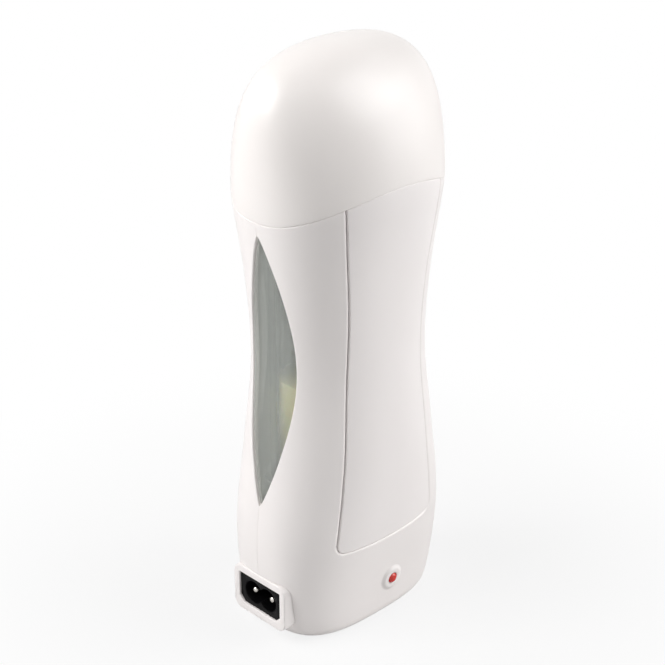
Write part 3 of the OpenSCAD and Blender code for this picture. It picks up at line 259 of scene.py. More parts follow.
def pierce(points, faces, a, r, hole):
    """Pierces the grid that both skins were last given by a round hole (x, z, radius): the patch
    of quads over it gives way to rings of them, from the patch's border to the circle and over
    its rounded edge. Returns the last ring of each skin."""
    x0, z0, radius = hole
    reach, soft, rims = 3, 0.25, []
    p = skin(a, r)
    i, j = np.unravel_index(np.hypot(p[..., 0] + x0, p[..., 2] - z0).argmin(), r.shape)
    i, j = max(i, reach), min(j, r.shape[1] - 1 - reach)
    for block, sunk in ((len(faces) - 2, 0), (len(faces) - 1, WALL)):
        p = skin(a, inner_ring(r) if sunk else r, sunk)
        quads = faces[block].reshape(r.shape[0] - 1, r.shape[1] - 1, 4)
        keep = np.ones(quads.shape[:2], bool)
        keep[i - reach:i + reach, j - reach:j + reach] = False
        faces[block] = quads[keep]
        border = np.array([(i - reach, k) for k in range(j - reach, j + reach)]
                          + [(k, j + reach) for k in range(i - reach, i + reach)]
                          + [(i + reach, k) for k in range(j + reach, j - reach, -1)]
                          + [(k, j - reach) for k in range(i + reach, i - reach, -1)]
                          + [(i - reach, j - reach)])
        outer = p[border[:, 0], border[:, 1]]
        turn = np.arctan2(outer[:, 2] - z0, outer[:, 0] + x0)
        rings = [outer]
        for f in (0.35, 0.7, 1.0):
            x = outer[:, 0] * (1 - f) + f * (-x0 + (radius + soft) * np.cos(turn))
            z = outer[:, 2] * (1 - f) + f * (z0 + (radius + soft) * np.sin(turn))
            n = spline(SQUARES, z)
            y = -(half_d(z) - sunk) * (1 - (np.abs(x) / (half_w(z) - sunk)) ** n) ** (1 / n)
            rings.append(np.stack([x, y, z], -1))
        face_y = rings[-1][:, 1]
        for grow, sink in ((0.08, 0.08), (0, soft)):
            rings.append(np.stack([-x0 + (radius + grow) * np.cos(turn),
                                   face_y + (sink if not sunk else -sink),
                                   z0 + (radius + grow) * np.sin(turn)], -1))
        rims.append(add_grid(points, faces, np.stack(rings))[-1])
    return rims


RIM_R, GROOVE_R, WINDOW_R = 0.4, 0.95, 0.4  # roundings of the seam, groove and window's hole
PARTING_R = 0.13  # rounding where the two shells meet
BELT, BELT_TURN = 35.3, 35.8  # ring where the plain rows start, and the grid's corner over it
NEAR = np.array([0, 0.035, 0.08, 0.13, 0.4, 1.1, 2.3, 4.0, 6.0, 8.0, 9.9])
ACROSS = 30  # columns below the belt: at NEAR from the parting edge, then so many to the middle


def flank_grid():
    """Grid round the panel, out to the seam, the parting edge with the window's hole, and the
    belt. Returns its distances q, rings r, depths and wall thicknesses, the panel's outline, and
    how many of its lines end at the side."""
    # Ends of the lines: near the seam, past the window, down to the belt and along it.
    top = SEAM - np.concatenate([RIM_R * ROUND_OUT, [0.9, 1.7, 2.9, 4.0]])
    tall = WINDOW_LO + (WINDOW_HI - WINDOW_LO) * (1 + np.cos(np.linspace(0, np.pi, 73))) / 2
    side_r = np.concatenate([top, tall, [50.4, 49, 47, 45, 43, 41, 39.3, 38, 37, 36.4]])
    side = len(side_r)
    w = window_half(side_r, WINDOW_GAP)
    side_q = np.where(w > 0, q_at_a(a_at_y(w, side_r), side_r), quarter_length(side_r))
    q_belt = float(quarter_length(BELT))
    belt_q = np.concatenate([q_belt - NEAR,
                             (q_belt - NEAR[-1]) * np.linspace(1, 0, ACROSS + 1)[1:]])
    goal = np.concatenate([np.stack([side_q, side_r], -1),
                           [[float(quarter_length(BELT_TURN)), BELT_TURN]],
                           np.stack([belt_q, np.full(len(belt_q), BELT)], -1)])
    # Starts: square offsets from the panel's outline, down the groove's wall and over its edge.
    corner_r = PANEL_Z + PANEL_CORNER
    rows = np.where(side_r > WINDOW_HI, side_r, WINDOW_HI - (WINDOW_HI - side_r)
                    * (WINDOW_HI - corner_r) / (WINDOW_HI - side_r[-1]))
    curve = panel_outline(GROOVE, rows, len(NEAR) + 1, ACROSS)
    norm = outward(curve)
    norm[:side] = (1, 0)
    steps = np.concatenate([[0], GROOVE_R * ROUND_OUT, [1.15, 1.4]])
    deep = np.concatenate([[SEAT], GROOVE_R * ROUND_DOWN, [0, 0]])
    start = curve[:, None] + norm[:, None] * steps[None, :, None]
    # Offsets from the ends: square to the window's edge where the hole is wide, along the ring
    # at the rest of the side, and back towards the starts at the belt.
    blend = np.clip(w / 1.2, 0, 1)[:, None]
    tangent = np.gradient(goal[:side], axis=0)
    tangent /= np.linalg.norm(tangent, axis=1)[:, None]
    edge_norm = np.tile([-1.0, 0.0], (len(goal), 1))
    edge_norm[:side] = (blend * np.stack([tangent[:, 1], -tangent[:, 0]], -1)
                        + (1 - blend) * (-1, 0))
    edge_norm[:side] /= np.linalg.norm(edge_norm[:side], axis=1)[:, None]
    fall = start[side + 1:, -1] - goal[side + 1:]
    edge_norm[side + 1:] = fall / np.linalg.norm(fall, axis=1)[:, None]
    radius = np.zeros(len(goal))
    radius[:side + 1] = PARTING_R
    radius[:side] += (WINDOW_R - PARTING_R) * blend[:, 0]
    reach = np.maximum(radius, PARTING_R)[:, None] * ROUND_OUT[None, ::-1]
    ahead = np.tile([1.3, 0.8], (len(goal), 1))
    ahead[side + 1:] = (0.3, 0.2)
    offsets = np.concatenate([ahead, reach], 1)
    end = goal[:, None] + edge_norm[:, None] * offsets[..., None]
    end_deep = np.concatenate([np.zeros(ahead.shape), radius[:, None] * ROUND_DOWN[None, ::-1]], 1)
    t = np.linspace(0, 1, 26)[1:-1, None]
    middle = start[:, None, -1] * (1 - t) + end[:, None, 0] * t
    grid = np.concatenate([start, middle, end], 1)
    q, r = grid[..., 0], grid[..., 1]
    # Depths: the offsets' own, and the roundings of the parting edge below and the seam's rim.
    depth = np.concatenate([np.tile(deep, (len(goal), 1)), np.zeros(middle.shape[:2]), end_deep], 1)
    parting = rounding(quarter_length(r) - q, PARTING_R)
    parting[:side] = 0
    depth = np.maximum(depth, parting)
    depth = np.where(depth < SEAT, np.maximum(depth, rounding(SEAM - r, RIM_R)), depth)
    # The wall is SEAT thicker behind the outline and thins from 1.6 to 3.2 mm off it.
    off = np.concatenate([steps, steps[-1] + t[:, 0] * 20, np.full(offsets.shape[1], 30)])
    thick = WALL + SEAT * np.clip((3.2 - off) / 1.6, 0, 1)[None] + np.zeros_like(q)
    return q, r, depth, thick, curve, side


def inlet_rows():
    """Heights of the rows below the belt: down to the inlet's opening, round its corners and
    past it, then round the foot. Returns them, the half width of the column that passes the
    opening's corners, and the opening's first and last row."""
    above, beside = 8, 7
    half_y, half_z, corner = INLET_W / 2 + INLET_GAP, INLET_H / 2 + INLET_GAP, INLET_R + INLET_GAP
    arc = np.linspace(0, np.pi / 2, 6)
    corner_z = INLET_Z + half_z - corner * (1 - np.cos(arc))
    zs = np.concatenate([
        np.linspace(BELT, INLET_Z + half_z, above + 1)[:-1], corner_z,
        np.linspace(corner_z[-1], 2 * INLET_Z - corner_z[-1], beside + 2)[1:-1],
        2 * INLET_Z - corner_z[::-1], [5.2, 4.4],
        FOOT_R * (1 - np.sin(np.linspace(0, np.pi / 2, 9)))])
    into = np.clip(np.abs(zs - INLET_Z) - (half_z - corner), 0, corner)
    y_cut = half_y - corner + np.where(np.abs(zs - INLET_Z) < half_z + 1e-6,
                                       np.sqrt(corner**2 - into**2), 0)
    return zs, y_cut, above, above + 2 * len(arc) + beside - 1


def quarter_shell(inlet, hole=None):
    """Quarter of a shell for -X -Y, as blocks of points and quads: the grid round the panel, the
    panel's seat, plain rows from the belt to the foot that leave out the inlet's opening and one
    round hole (x, z, radius), and the underside. The inner skin repeats every grid at the wall's
    depth, and strips of faces close the edges."""
    points, faces = [], []

    def pair(a, r, d_out, d_in):
        """One grid on both skins."""
        return (add_grid(points, faces, skin(a, r, d_out)),
                add_grid(points, faces, skin(a, inner_ring(r), d_in)))

    q, r, depth, thick, curve, side = flank_grid()
    a = a_at_q(q, r)
    out, inn = pair(a, r, depth, thick)
    close(faces, out[0], inn[0])
    close(faces, out[:side + 2, -1], inn[:side + 2, -1])
    # Seat of the panel, from its outline to the middle.
    bed = side + len(NEAR) + 1
    bed_q = curve[:bed, :1] * np.linspace(1, 0, ACROSS + 1)[None]
    bed_r = np.repeat(curve[:bed, 1:], ACROSS + 1, 1)
    bed_a = a_at_q(bed_q, bed_r)
    bed_a[-1] = a[bed - 1:, 0]
    out, inn = pair(bed_a, bed_r, SEAT, WALL + SEAT)
    close(faces, out[0], inn[0])
    # Front below the belt, from the column past the opening's corners to the middle.
    zs, y_cut, top_row, low_row = inlet_rows()
    cut_a = a_at_y(y_cut, zs)
    cut_r = np.array(zs)
    for _ in range(12):  # by repeated substitution, the ring that passes height zs at that angle
        cut_r = cut_r - (skin(cut_a, cut_r)[..., 2] - zs)
    cut_r = np.where((zs < BELT) & (zs > FOOT_R), cut_r, zs)
    cut_q = q_at_a(cut_a, cut_r)
    cut_q[0] = float(quarter_length(BELT)) - NEAR[-1]
    front_r = np.repeat(cut_r[:, None], ACROSS + 1, 1)
    front_a = a_at_q(cut_q[:, None] * np.linspace(1, 0, ACROSS + 1)[None], front_r)
    front_a[0] = a[-ACROSS - 1:, -1]
    front_a[1:, 0] = cut_a[1:]
    out, inn = pair(front_a, front_r, 0, WALL)
    if hole:
        close(faces, *pierce(points, faces, front_a, front_r, hole))
    # Side below the belt, from the parting edge to that column, with or without the opening.
    groups = [slice(0, len(zs))]
    if inlet:
        groups = [slice(0, top_row + 1), slice(low_row, len(zs))]
        close(faces, out[top_row:low_row + 1, 0], inn[top_row:low_row + 1, 0])
    share = NEAR[None] / NEAR[-1]
    for g in groups:
        g_r = zs[g, None] * (1 - share) + cut_r[g, None] * share
        gap = (quarter_length(cut_r[g]) - cut_q[g])[:, None]
        dist = np.where(NEAR[None] < 0.5, NEAR[None], gap * share)
        g_a = a_at_q(quarter_length(g_r) - dist, g_r)
        g_a[:, 0] = 90
        g_a[:, -1] = front_a[g, 0]
        if g.start == 0:
            g_a[0], g_r[0] = a[side + 1:side + 1 + len(NEAR), -1], BELT
        g_d = rounding(dist, PARTING_R)
        out, inn = pair(g_a, g_r, g_d, WALL)
        close(faces, out[:, 0], inn[:, 0])
        if inlet:
            row = -1 if g.start == 0 else 0
            close(faces, out[row], inn[row])
    # Underside and the floor's upper face, from the foot's ring to the parting plane.
    foot_a = np.concatenate([g_a[-1], front_a[-1, 1:]])
    foot_d = np.concatenate([g_d[-1], np.zeros(ACROSS)])
    lo = skin(foot_a, 0, foot_d)
    hi = skin(foot_a, inner_ring(np.zeros(1)), WALL)
    flat = (1, 0, 1)
    for one, other in ((lo, lo * flat), (hi, hi * flat), (lo * flat, hi * flat)):
        add_grid(points, faces, np.stack([one, other]))
    return points, faces


def mirror(part, x=1, y=1):
    """Point and quad blocks mirrored in x or y."""
    return [block * (x, y, 1) for block in part[0]], part[1]


def join(*parts):
    """One list of blocks from several parts, with their point numbers moved on."""
    points, faces, first = [], [], 0
    for some_points, some_faces in parts:
        points += some_points
        faces += [quads + first for quads in some_faces]
        first += sum(len(block) for block in some_points)
    return points, faces


def front_y(x, z):
    """Distance of the wide face from the middle plane: d (1 - (x / w)^n)^(1 / n)."""
    n = spline(SQUARES, z)
    return half_d(z) * (1 - np.minimum(np.abs(x) / half_w(z), 1) ** n) ** (1 / n)


def turned(profile, steps, axis="z", centre=(0, 0, 0)):
    """Closed surface of revolution: a profile of (radius, height) turned about an axis."""
    t = np.linspace(0, 2 * np.pi, steps + 1)[None]
    rad, up = profile[:, :1], np.repeat(profile[:, 1:], steps + 1, 1)
    u, v = rad * np.cos(t), rad * np.sin(t)
    order = {"z": (u, v, up), "y": (u, up, v), "x": (up, u, v)}[axis]
    points, faces = [], []
    add_grid(points, faces, np.stack(order, -1) + np.array(centre))
    return points, faces


def lamp_ring():
    """Soft ring round the pilot light: height over the face 0 at RING_OUT from the lamp's axis,
    rising by a smoothstep to RING_UP over RING_RUN, then over a lip and down the lamp's hole."""
    slope = np.linspace(RING_OUT - 0.1, RING_OUT - RING_RUN, 12)
    s = np.clip((RING_OUT - slope) / RING_RUN, 0, 1)
    profile = np.concatenate([
        [(5.3, -0.6), (RING_OUT, -0.03)], np.stack([slope, RING_UP * s * s * (3 - 2 * s)], -1),
        [(2.6, 0.8), (2.3, 0.79), (2.15, 0.75), (2.08, 0.68), (2.05, 0.5), (2.05, -1.6),
         (5.3, -0.6)]])
    rad, up = profile[:, :1], profile[:, 1:]
    t = np.linspace(0, 2 * np.pi, 65)[None]
    x, z = LED_X + rad * np.cos(t), LED_Z + rad * np.sin(t)
    points, faces = [], []
    add_grid(points, faces, np.stack([x, -front_y(x, z) - up, z], -1))
    return points, faces


def boss(x, z, bore, seat, end):
    """Screw boss on the parting plane: a tube with a wider counterbore from its seat on."""
    profile = np.array([(bore, 0), (BOSS_R, 0), (BOSS_R, end), (SCREW_HOLE, end),
                        (SCREW_HOLE, seat), (bore, seat), (bore, 0)])
    return turned(profile, 48, "y", (x, 0, z))


def bosses(bore, seat):
    """The four bosses of a shell: two low ones that end at the wide face and two high ones that
    end under the panel's seat."""
    low_end = front_y(LOW_SCREW[0] + BOSS_R, LOW_SCREW[1] - BOSS_R) - 0.5
    high_end = front_y(HIGH_SCREW[0] + BOSS_R, HIGH_SCREW[1] - BOSS_R) - SEAT - 0.5
    return [boss(side * x, z, bore, seat, end)
            for (x, z), end in ((LOW_SCREW, low_end), (HIGH_SCREW, high_end)) for side in (1, -1)]


def tone(hex_code):
    """Linear colour of an sRGB hex code."""
    c = np.array([int(hex_code[i:i + 2], 16) for i in (1, 3, 5)]) / 255
    return tuple(np.where(c > 0.04045, ((c + 0.055) / 1.055) ** 2.4, c / 12.92)) + (1.0,)


def add_node(mat, kind, links=None, **settings):
    """Adds a shader node, sets its properties or input values, and links its inputs."""
    made = mat.node_tree.nodes.new("ShaderNode" + kind)
    for key, value in settings.items():
        if hasattr(made, key):
            setattr(made, key, value)
        else:
            made.inputs[key.replace("_", " ")].default_value = value
    for key, source in (links or {}).items():
        socket = key.replace("_", " ") if isinstance(key, str) else key
        mat.node_tree.links.new(source, made.inputs[socket])
    return made


def new_material(name):
    """Material with an empty node tree."""
    mat = bpy.data.materials.new(name)
    mat.use_nodes = True
    mat.node_tree.nodes.clear()
    return mat


def moulded(name, low, high, rough, mottle=40.0, grain=900.0, bump=0.02, **shader):
    """Injection-moulded plastic: two near tones mixed by slow flow marks, roughness that drifts
    by a fifth, and a fine orange-peel bump. Scales are in waves per metre: flow marks 25 mm
    apart, and an orange peel of about 1 mm, coarser than the real one so that it shows."""
    mat = new_material(name)
    place = add_node(mat, "TexCoord").outputs["Object"]
    flow = add_node(mat, "TexNoise", {"Vector": place}, Scale=mottle, Detail=3.0, Roughness=0.5)
    fine = add_node(mat, "TexNoise", {"Vector": place}, Scale=grain, Detail=2.0)
    shade = add_node(mat, "MixRGB", {"Fac": flow.outputs["Fac"]},
                     Color1=tone(low), Color2=tone(high))
    gloss = add_node(mat, "MapRange", {"Value": flow.outputs["Fac"]},
                     To_Min=rough * 0.8, To_Max=rough * 1.2)
    skin_bump = add_node(mat, "Bump", {"Height": fine.outputs["Fac"]},
                         Strength=bump, Distance=0.0002)
    surface = add_node(mat, "BsdfPrincipled", {
        "Base_Color": shade.outputs["Color"], "Roughness": gloss.outputs["Result"],
        "Normal": skin_bump.outputs["Normal"]}, **shader)
    add_node(mat, "OutputMaterial", {"Surface": surface.outputs["BSDF"]})
    return mat


def dress(piece, mat, name, body="housing"):
    """Gives a piece its one material and its body, and hides the CAD node it stands for."""
    piece.data.materials.clear()
    piece.data.materials.append(mat)
    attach(piece, body)
    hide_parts(name)


# Polished white ABS: glossy, with soft-edged reflections and a faint orange peel.
white_abs = moulded("white ABS, polished in the tool", "#F2EDEB", "#F6F1EF", 0.32, IOR=1.52)
front = join(quarter_shell(True), mirror(quarter_shell(False, (LED_X, LED_Z, LED_HOLE)), x=-1),
             lamp_ring(), *[mirror(part, y=-1) for part in bosses(SCREW_PILOT, PILOT_DEPTH)])
screw_head = (*LOW_SCREW, SCREW_HOLE)
rear = join(mirror(quarter_shell(True, screw_head), y=-1),
            mirror(quarter_shell(False, screw_head), -1, -1), *bosses(SCREW_CLEAR, SCREW_SEAT))
dress(build("front_housing_shell", *front), white_abs, "front_shell")
dress(build("rear_housing_shell", *rear), white_abs, "rear_shell")

# ---------------------------------------------------------------------------------------------
# Inlaid panels: one in each wide face, moulded in the same white ABS and pressed into a seat,
# with softly rounded edges over a 0.4 mm groove. They are flatter than the shell across the
# chest, and end at the seam.
PANEL_T, PANEL_FLAT, PANEL_EDGE, PANEL_RIM = 1.4, 0.9, 0.3, 0.35
TONGUE_OUT, TONGUE_DEEP = 0.36, 0.4  # the tongue that closes the groove


def quarter_panel():
    """Quarter of a panel: rows follow its outline at growing distances inwards, then rings run
    to the middle; the edge is rounded above a tongue that closes the groove, and the underside
    repeats the grid. Between its edges the face sinks by PANEL_FLAT (1 - share^2)
    sin(pi height^2), where share and height run from 0 to 1 across and up the panel."""
    points, faces = [], []
    corner, across = 12, 30
    top = SEAM - np.concatenate([PANEL_RIM * ROUND_OUT, [0.9, 1.7, 2.9]])
    rows = np.concatenate([top, np.linspace(149, PANEL_Z + PANEL_CORNER, 90)])
    side = len(rows)
    curve = panel_outline(0, rows, corner, across)
    norm = -outward(curve)
    norm[:side] = (-1, 0)
    steps = np.concatenate([[-TONGUE_OUT, -TONGUE_OUT, 0], PANEL_EDGE * ROUND_OUT, [0.6, 1.0]])
    deep = np.concatenate([[PANEL_T, TONGUE_DEEP + 0.1, TONGUE_DEEP], PANEL_EDGE * ROUND_DOWN,
                           [0, 0]])
    edge = curve[:, None] + norm[:, None] * steps[None, :, None]
    bed_q = edge[:side + corner, -1, :1] * np.linspace(1, 0, across + 1)[None]
    bed_r = np.repeat(edge[:side + corner, -1, 1:], across + 1, 1)
    bed_a = a_at_q(bed_q, bed_r)
    edge_a = a_at_q(edge[..., 0], edge[..., 1])
    bed_a[-1] = edge_a[side + corner - 1:, -1]
    for a, r, d in ((edge_a, edge[..., 1], deep[None]), (bed_a, bed_r, 0.0)):
        share = np.clip(q_at_a(a, r) / q_at_a(a_at_x(panel_half(r), r), r), 0, 1)
        tall = np.clip((r - PANEL_Z) / (SEAM - PANEL_Z), 0, 1)
        sunk = PANEL_FLAT * (1 - share**2) * np.sin(np.pi * tall**2)
        d = np.maximum(d, rounding(SEAM - r, PANEL_RIM)) + sunk
        out = add_grid(points, faces, skin(a, r, np.minimum(d, PANEL_T)))
        under = add_grid(points, faces, skin(a, r, PANEL_T))
        close(faces, out[0], under[0])
    return points, faces


# The same ABS from another tool: a shade cooler and a little less glossy.
panel_abs = moulded("white ABS, panel moulding", "#F3EEEC", "#F6F1F0", 0.34, 34.0, IOR=1.52)
half_panel = join(quarter_panel(), mirror(quarter_panel(), x=-1))
dress(build("front_inlay", *half_panel), panel_abs, "front_panel")
dress(build("rear_inlay", *mirror(half_panel, y=-1)), panel_abs, "rear_panel")

# ---------------------------------------------------------------------------------------------
# Almond windows: grey-tinted polycarbonate, injection moulded, snapped in from inside the
# shells so that the wax level shows. Slightly sunk, and crowned to its edge over 2 mm.
PANE_EDGE, PANE_CROWN, PANE_SUNK, PANE_BACK, PANE_END = 2.0, 0.9, 0.2, 2.1, 0.8


def window_pane():
    """Pane on the -X side: rows by ring, columns by the sine of a half turn across the almond's
    width. Its face is PANE_SUNK deep and rounded at its edge; its back is PANE_BACK deep."""
    u = (1 - np.cos(np.linspace(0, np.pi, 97))) / 2
    r = (WINDOW_LO + PANE_END + (WINDOW_HI - WINDOW_LO - 2 * PANE_END) * u)[:, None]
    s = np.sin(np.pi / 2 * np.linspace(-1, 1, 57))[None]
    half = window_half(r)
    y = half * s
    k = np.clip(1 - (half - np.abs(y)) / PANE_EDGE, 0, 1)
    face = PANE_SUNK + PANE_CROWN * (1 - np.sqrt(1 - k * k))
    r = np.broadcast_to(r, y.shape)
    flip = np.stack([np.ones_like(y), -np.sign(y), np.ones_like(y)], -1)
    points, faces = [], []
    out, inn = [add_grid(points, faces, skin(a_at_y(np.abs(y), r), r, depth) * flip)
                for depth in (face, PANE_BACK)]
    for row in (0, -1):
        close(faces, out[row], inn[row])
    for col in (0, -1):
        close(faces, out[:, col], inn[:, col])
    return points, faces


def tinted(name, colour, rough, mottle, **shader):
    """Clear plastic dyed in the mass: light passes, and its roughness drifts by three tenths.
    The mottle is in waves per metre."""
    mat = new_material(name)
    place = add_node(mat, "TexCoord").outputs["Object"]
    flow = add_node(mat, "TexNoise", {"Vector": place}, Scale=mottle, Detail=3.0)
    deep, pale = np.array(tone(colour)) * (0.96, 0.96, 0.96, 1), tone(colour)
    shade = add_node(mat, "MixRGB", {"Fac": flow.outputs["Fac"]}, Color1=tuple(deep), Color2=pale)
    gloss = add_node(mat, "MapRange", {"Value": flow.outputs["Fac"]},
                     To_Min=rough * 0.7, To_Max=rough * 1.3)
    surface = add_node(mat, "BsdfPrincipled", {
        "Base_Color": shade.outputs["Color"], "Roughness": gloss.outputs["Result"]}, **shader)
    add_node(mat, "OutputMaterial", {"Surface": surface.outputs["BSDF"]})
    return mat


# Tinted polycarbonate: a smoky grey pane with a sharp, glassy shine over what is behind it.
window_pc = tinted("grey polycarbonate, moulded and polished", "#E0E5DE", 0.1, 30.0,
                   Transmission_Weight=0.3, IOR=1.55, Alpha=0.28)
pane = window_pane()
dress(build("left_pane", *pane), window_pc, "left_window")
dress(build("right_pane", *mirror(pane, x=-1)), window_pc, "right_window")

# ---------------------------------------------------------------------------------------------
# Small hard parts inside: screws, cradle, heater plates and their stones, strips, pads, clips,
# fuse, board and wires. Their solids are right, so they keep them; the larger and the turned
# ones have their edges broken.
BEVEL_ANGLE = 30


def softened(node_name, name, width, segments=2):
    """Copy of a CAD node's mesh with its triangles joined, flat faces dissolved and every edge
    over BEVEL_ANGLE degrees bevelled by width millimetres."""
    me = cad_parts[node_name].data.copy()
    bm = bmesh.new()
    bm.from_mesh(me)
    bmesh.ops.remove_doubles(bm, verts=bm.verts, dist=1e-6)
    bmesh.ops.dissolve_limit(bm, angle_limit=np.radians(1), verts=bm.verts, edges=bm.edges)
    bm.to_mesh(me)
    bm.free()
    piece = bpy.data.objects.new(name, me)
    bpy.context.scene.collection.objects.link(piece)
    me.materials.clear()
    bevel = piece.modifiers.new("edges", "BEVEL")
    bevel.width, bevel.segments, bevel.limit_method = width * MM, segments, "ANGLE"
    bevel.angle_limit, bevel.use_clamp_overlap = np.radians(BEVEL_ANGLE), True
    evaluated = piece.evaluated_get(bpy.context.evaluated_depsgraph_get())
    done = bpy.data.meshes.new_from_object(evaluated)
    piece.modifiers.clear()
    piece.data = done
    done.polygons.foreach_set("use_smooth", np.ones(len(done.polygons), bool))
    done.set_sharp_from_angle(angle=np.radians(SHARP))
    return piece


def metal(name, low, high, rough, stretch, grain=600.0, **shader):
    """Bare metal: tones and roughness mixed by noise drawn out along one direction, as rolling,
    drawing or turning leaves it, with a shallow bump from the same lines. The lines are about
    1.7 mm apart, coarser than real ones so that they show."""
    mat = new_material(name)
    place = add_node(mat, "TexCoord").outputs["Object"]
    drawn = add_node(mat, "Mapping", {"Vector": place}, Scale=stretch)
    lines = add_node(mat, "TexNoise", {"Vector": drawn.outputs["Vector"]}, Scale=grain, Detail=4.0)
    shade = add_node(mat, "MixRGB", {"Fac": lines.outputs["Fac"]},
                     Color1=tone(low), Color2=tone(high))
    gloss = add_node(mat, "MapRange", {"Value": lines.outputs["Fac"]},
                     To_Min=rough * 0.75, To_Max=rough * 1.25)
    cut = add_node(mat, "Bump", {"Height": lines.outputs["Fac"]}, Strength=0.12, Distance=0.0001)
    surface = add_node(mat, "BsdfPrincipled", {
        "Base_Color": shade.outputs["Color"], "Roughness": gloss.outputs["Result"],
        "Normal": cut.outputs["Normal"]}, Metallic=1.0, **shader)
    add_node(mat, "OutputMaterial", {"Surface": surface.outputs["BSDF"]})
    return mat


# Thin natural PBT lets most light through and only clouds it.
cradle_pbt = tinted("natural PBT, moulded thin", "#EFEDE4", 0.45, 60.0, Transmission_Weight=0.1,
                    Alpha=0.07)
# Mill-finish aluminium: a soft grey sheen with lines along the extrusion.
aluminium = metal("aluminium extrusion, mill finish", "#B9BBBD", "#D2D4D5", 0.34, (1, 1, 0.04))
# Sintered ceramic: dark and matt, with a coarse bite.
stone = moulded("heating stone, sintered ceramic", "#4A4744", "#5C5854", 0.8, 300.0, 2600.0, 0.4)
# Nickel plating over rolled strip: warm grey, lined lengthways.
strip_steel = metal("nickel-plated electrode strip", "#A9A59A", "#C6C2B6", 0.36, (1, 1, 0.06))
# Polyimide film: smooth amber with a satin shine.
pad_film = moulded("polyimide insulating film", "#A8641C", "#C07A2A", 0.34, 80.0, 400.0, 0.03)
# Tempered spring steel: dull blue-grey.
spring_steel = metal("spring steel, tempered blue-grey", "#6E7278", "#8C9096", 0.38, (1, 1, 0.05))
# Zinc plating: pale cool grey, with lines along the screw.
screw_steel = metal("zinc-plated screw steel", "#9EA2A5", "#BFC3C6", 0.36, (1, 0.1, 1))
# Tinned brass: a pale, slightly golden can.
fuse_can = metal("thermal fuse can, tinned brass", "#B09A62", "#C6B27C", 0.35, (1, 1, 0.3))
# Solder mask: even dark green under a satin gloss.
board_fr4 = moulded("FR4 board, green solder mask", "#1D5A34", "#246B3E", 0.35, 200.0, 1500.0, 0.05)
# Lacquer: tan, a little uneven.
resistor_body = moulded("carbon-film resistor, lacquered", "#C2A477", "#D0B488", 0.4, 500.0,
                        1500.0, 0.05)
# Silicone jackets: soft and rubbery, with broad dull highlights.
wire_brown = moulded("silicone wire jacket, brown", "#5A3420", "#6B4028", 0.45, 300.0, 1500.0, 0.08)
wire_blue = moulded("silicone wire jacket, blue", "#234C86", "#2C5A9A", 0.45, 300.0, 1500.0, 0.08)
inside = {
    "heating_cradle": (cradle_pbt, "cradle_pbt", 0.3),
    "front_heat_plate": (aluminium, "plate_aluminium", 0.2),
    "rear_heat_plate": (aluminium, "plate_aluminium", 0.2),
    "shell_screws": (screw_steel, "screw_steel", 0.15),
    "thermal_fuse": (fuse_can, "fuse_can", 0.2)}
for node_name, (mat, slot, width) in inside.items():
    dress(softened(node_name, node_name + "_finished", width), mat, node_name)
bare = {
    "front_heating_stones": stone, "rear_heating_stones": stone,
    "front_electrode_strip": strip_steel, "rear_electrode_strip": strip_steel,
    "front_insulating_pad": pad_film, "rear_insulating_pad": pad_film,
    "front_heater_clip": spring_steel, "rear_heater_clip": spring_steel,
    "led_board": board_fr4, "led_resistor": resistor_body, "live_wire": wire_brown,
    "neutral_wire": wire_blue, "strip_wire": wire_brown, "plate_wire": wire_blue}
for node_name, mat in bare.items():
    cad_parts[node_name].data.materials.clear()
    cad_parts[node_name].data.materials.append(mat)

# ---------------------------------------------------------------------------------------------
# Mains inlet: a white ABS bezel stands out of the narrow side and holds a black two-pin socket
# in glass-filled nylon, with two nickel-plated brass pins in its figure-of-eight cavity.

# The shells' ABS from a small tool of its own: a touch darker, with closer flow marks.
bezel_abs = moulded("white ABS, inlet bezel", "#EFEAE8", "#F5F0EE", 0.32, 60.0, IOR=1.52)
# Glass-filled nylon: deep black and dull, with a fine rough grain.
socket_black = moulded("black nylon, glass-filled", "#030304", "#070708", 0.42, 120.0, 1800.0, 0.1,
                       Specular_IOR_Level=0.12)
# Turned and plated pins: bright, with small sharp glints.
pin_metal = metal("nickel-plated brass, turned", "#C2BFB8", "#DAD7D0", 0.18, (0.05, 1, 1))
dress(softened("inlet_bezel", "inlet_frame", 0.7, 4), bezel_abs, "inlet_bezel")
dress(softened("inlet_socket", "two_pin_socket", 0.25, 3), socket_black,
      "inlet_socket")
dress(softened("inlet_pins", "contact_pins", 0.1), pin_metal, "inlet_pins")

# ---------------------------------------------------------------------------------------------
# Pilot light: a red diffused LED, cast in epoxy, looking out of the ring in the front shell.
LED_TIP, LED_BACK, LED_FLANGE = 24.14, 17.74, 2.4  # its ends from the parting plane, its flange
dome_turn = np.radians(np.linspace(0, 90, 13))
lens = np.concatenate([
    [(0, -LED_BACK), (LED_FLANGE, -LED_BACK), (LED_FLANGE, -LED_BACK - 1), (LENS_R, -LED_BACK - 1)],
    np.stack([LENS_R * np.cos(dome_turn),
              -LED_TIP + LENS_R * 0.7 * (1 - np.sin(dome_turn))], -1)])
# Diffused epoxy: saturated red with a soft glow inside and a glossy, rounded tip.
led_red = moulded("red diffused epoxy", "#C81E14", "#DC3222", 0.2, 400.0, Subsurface_Weight=0.3,
                  Subsurface_Scale=0.001, IOR=1.54)
dress(build("pilot_lens", *turned(lens, 48, "y", (LED_X, 0, LED_Z))), led_red,
      "led_lamp")

# ---------------------------------------------------------------------------------------------
# Collar: white ABS ring in the shells' mouth that guides the cartridge and the cap's rim.
# It shows when the cap is off, slightly greyer and less polished than the shells.
collar_abs = moulded("white ABS, collar", "#ECEAE7", "#F1EFEC", 0.34, 50.0, IOR=1.52)
dress(softened("top_collar", "collar", 0.35, 3), collar_abs, "top_collar")

# ---------------------------------------------------------------------------------------------
# Cartridge: a tank blow-moulded in clear polypropylene, part filled with honey wax, under a
# white head with a bearing in each cheek for the roller.

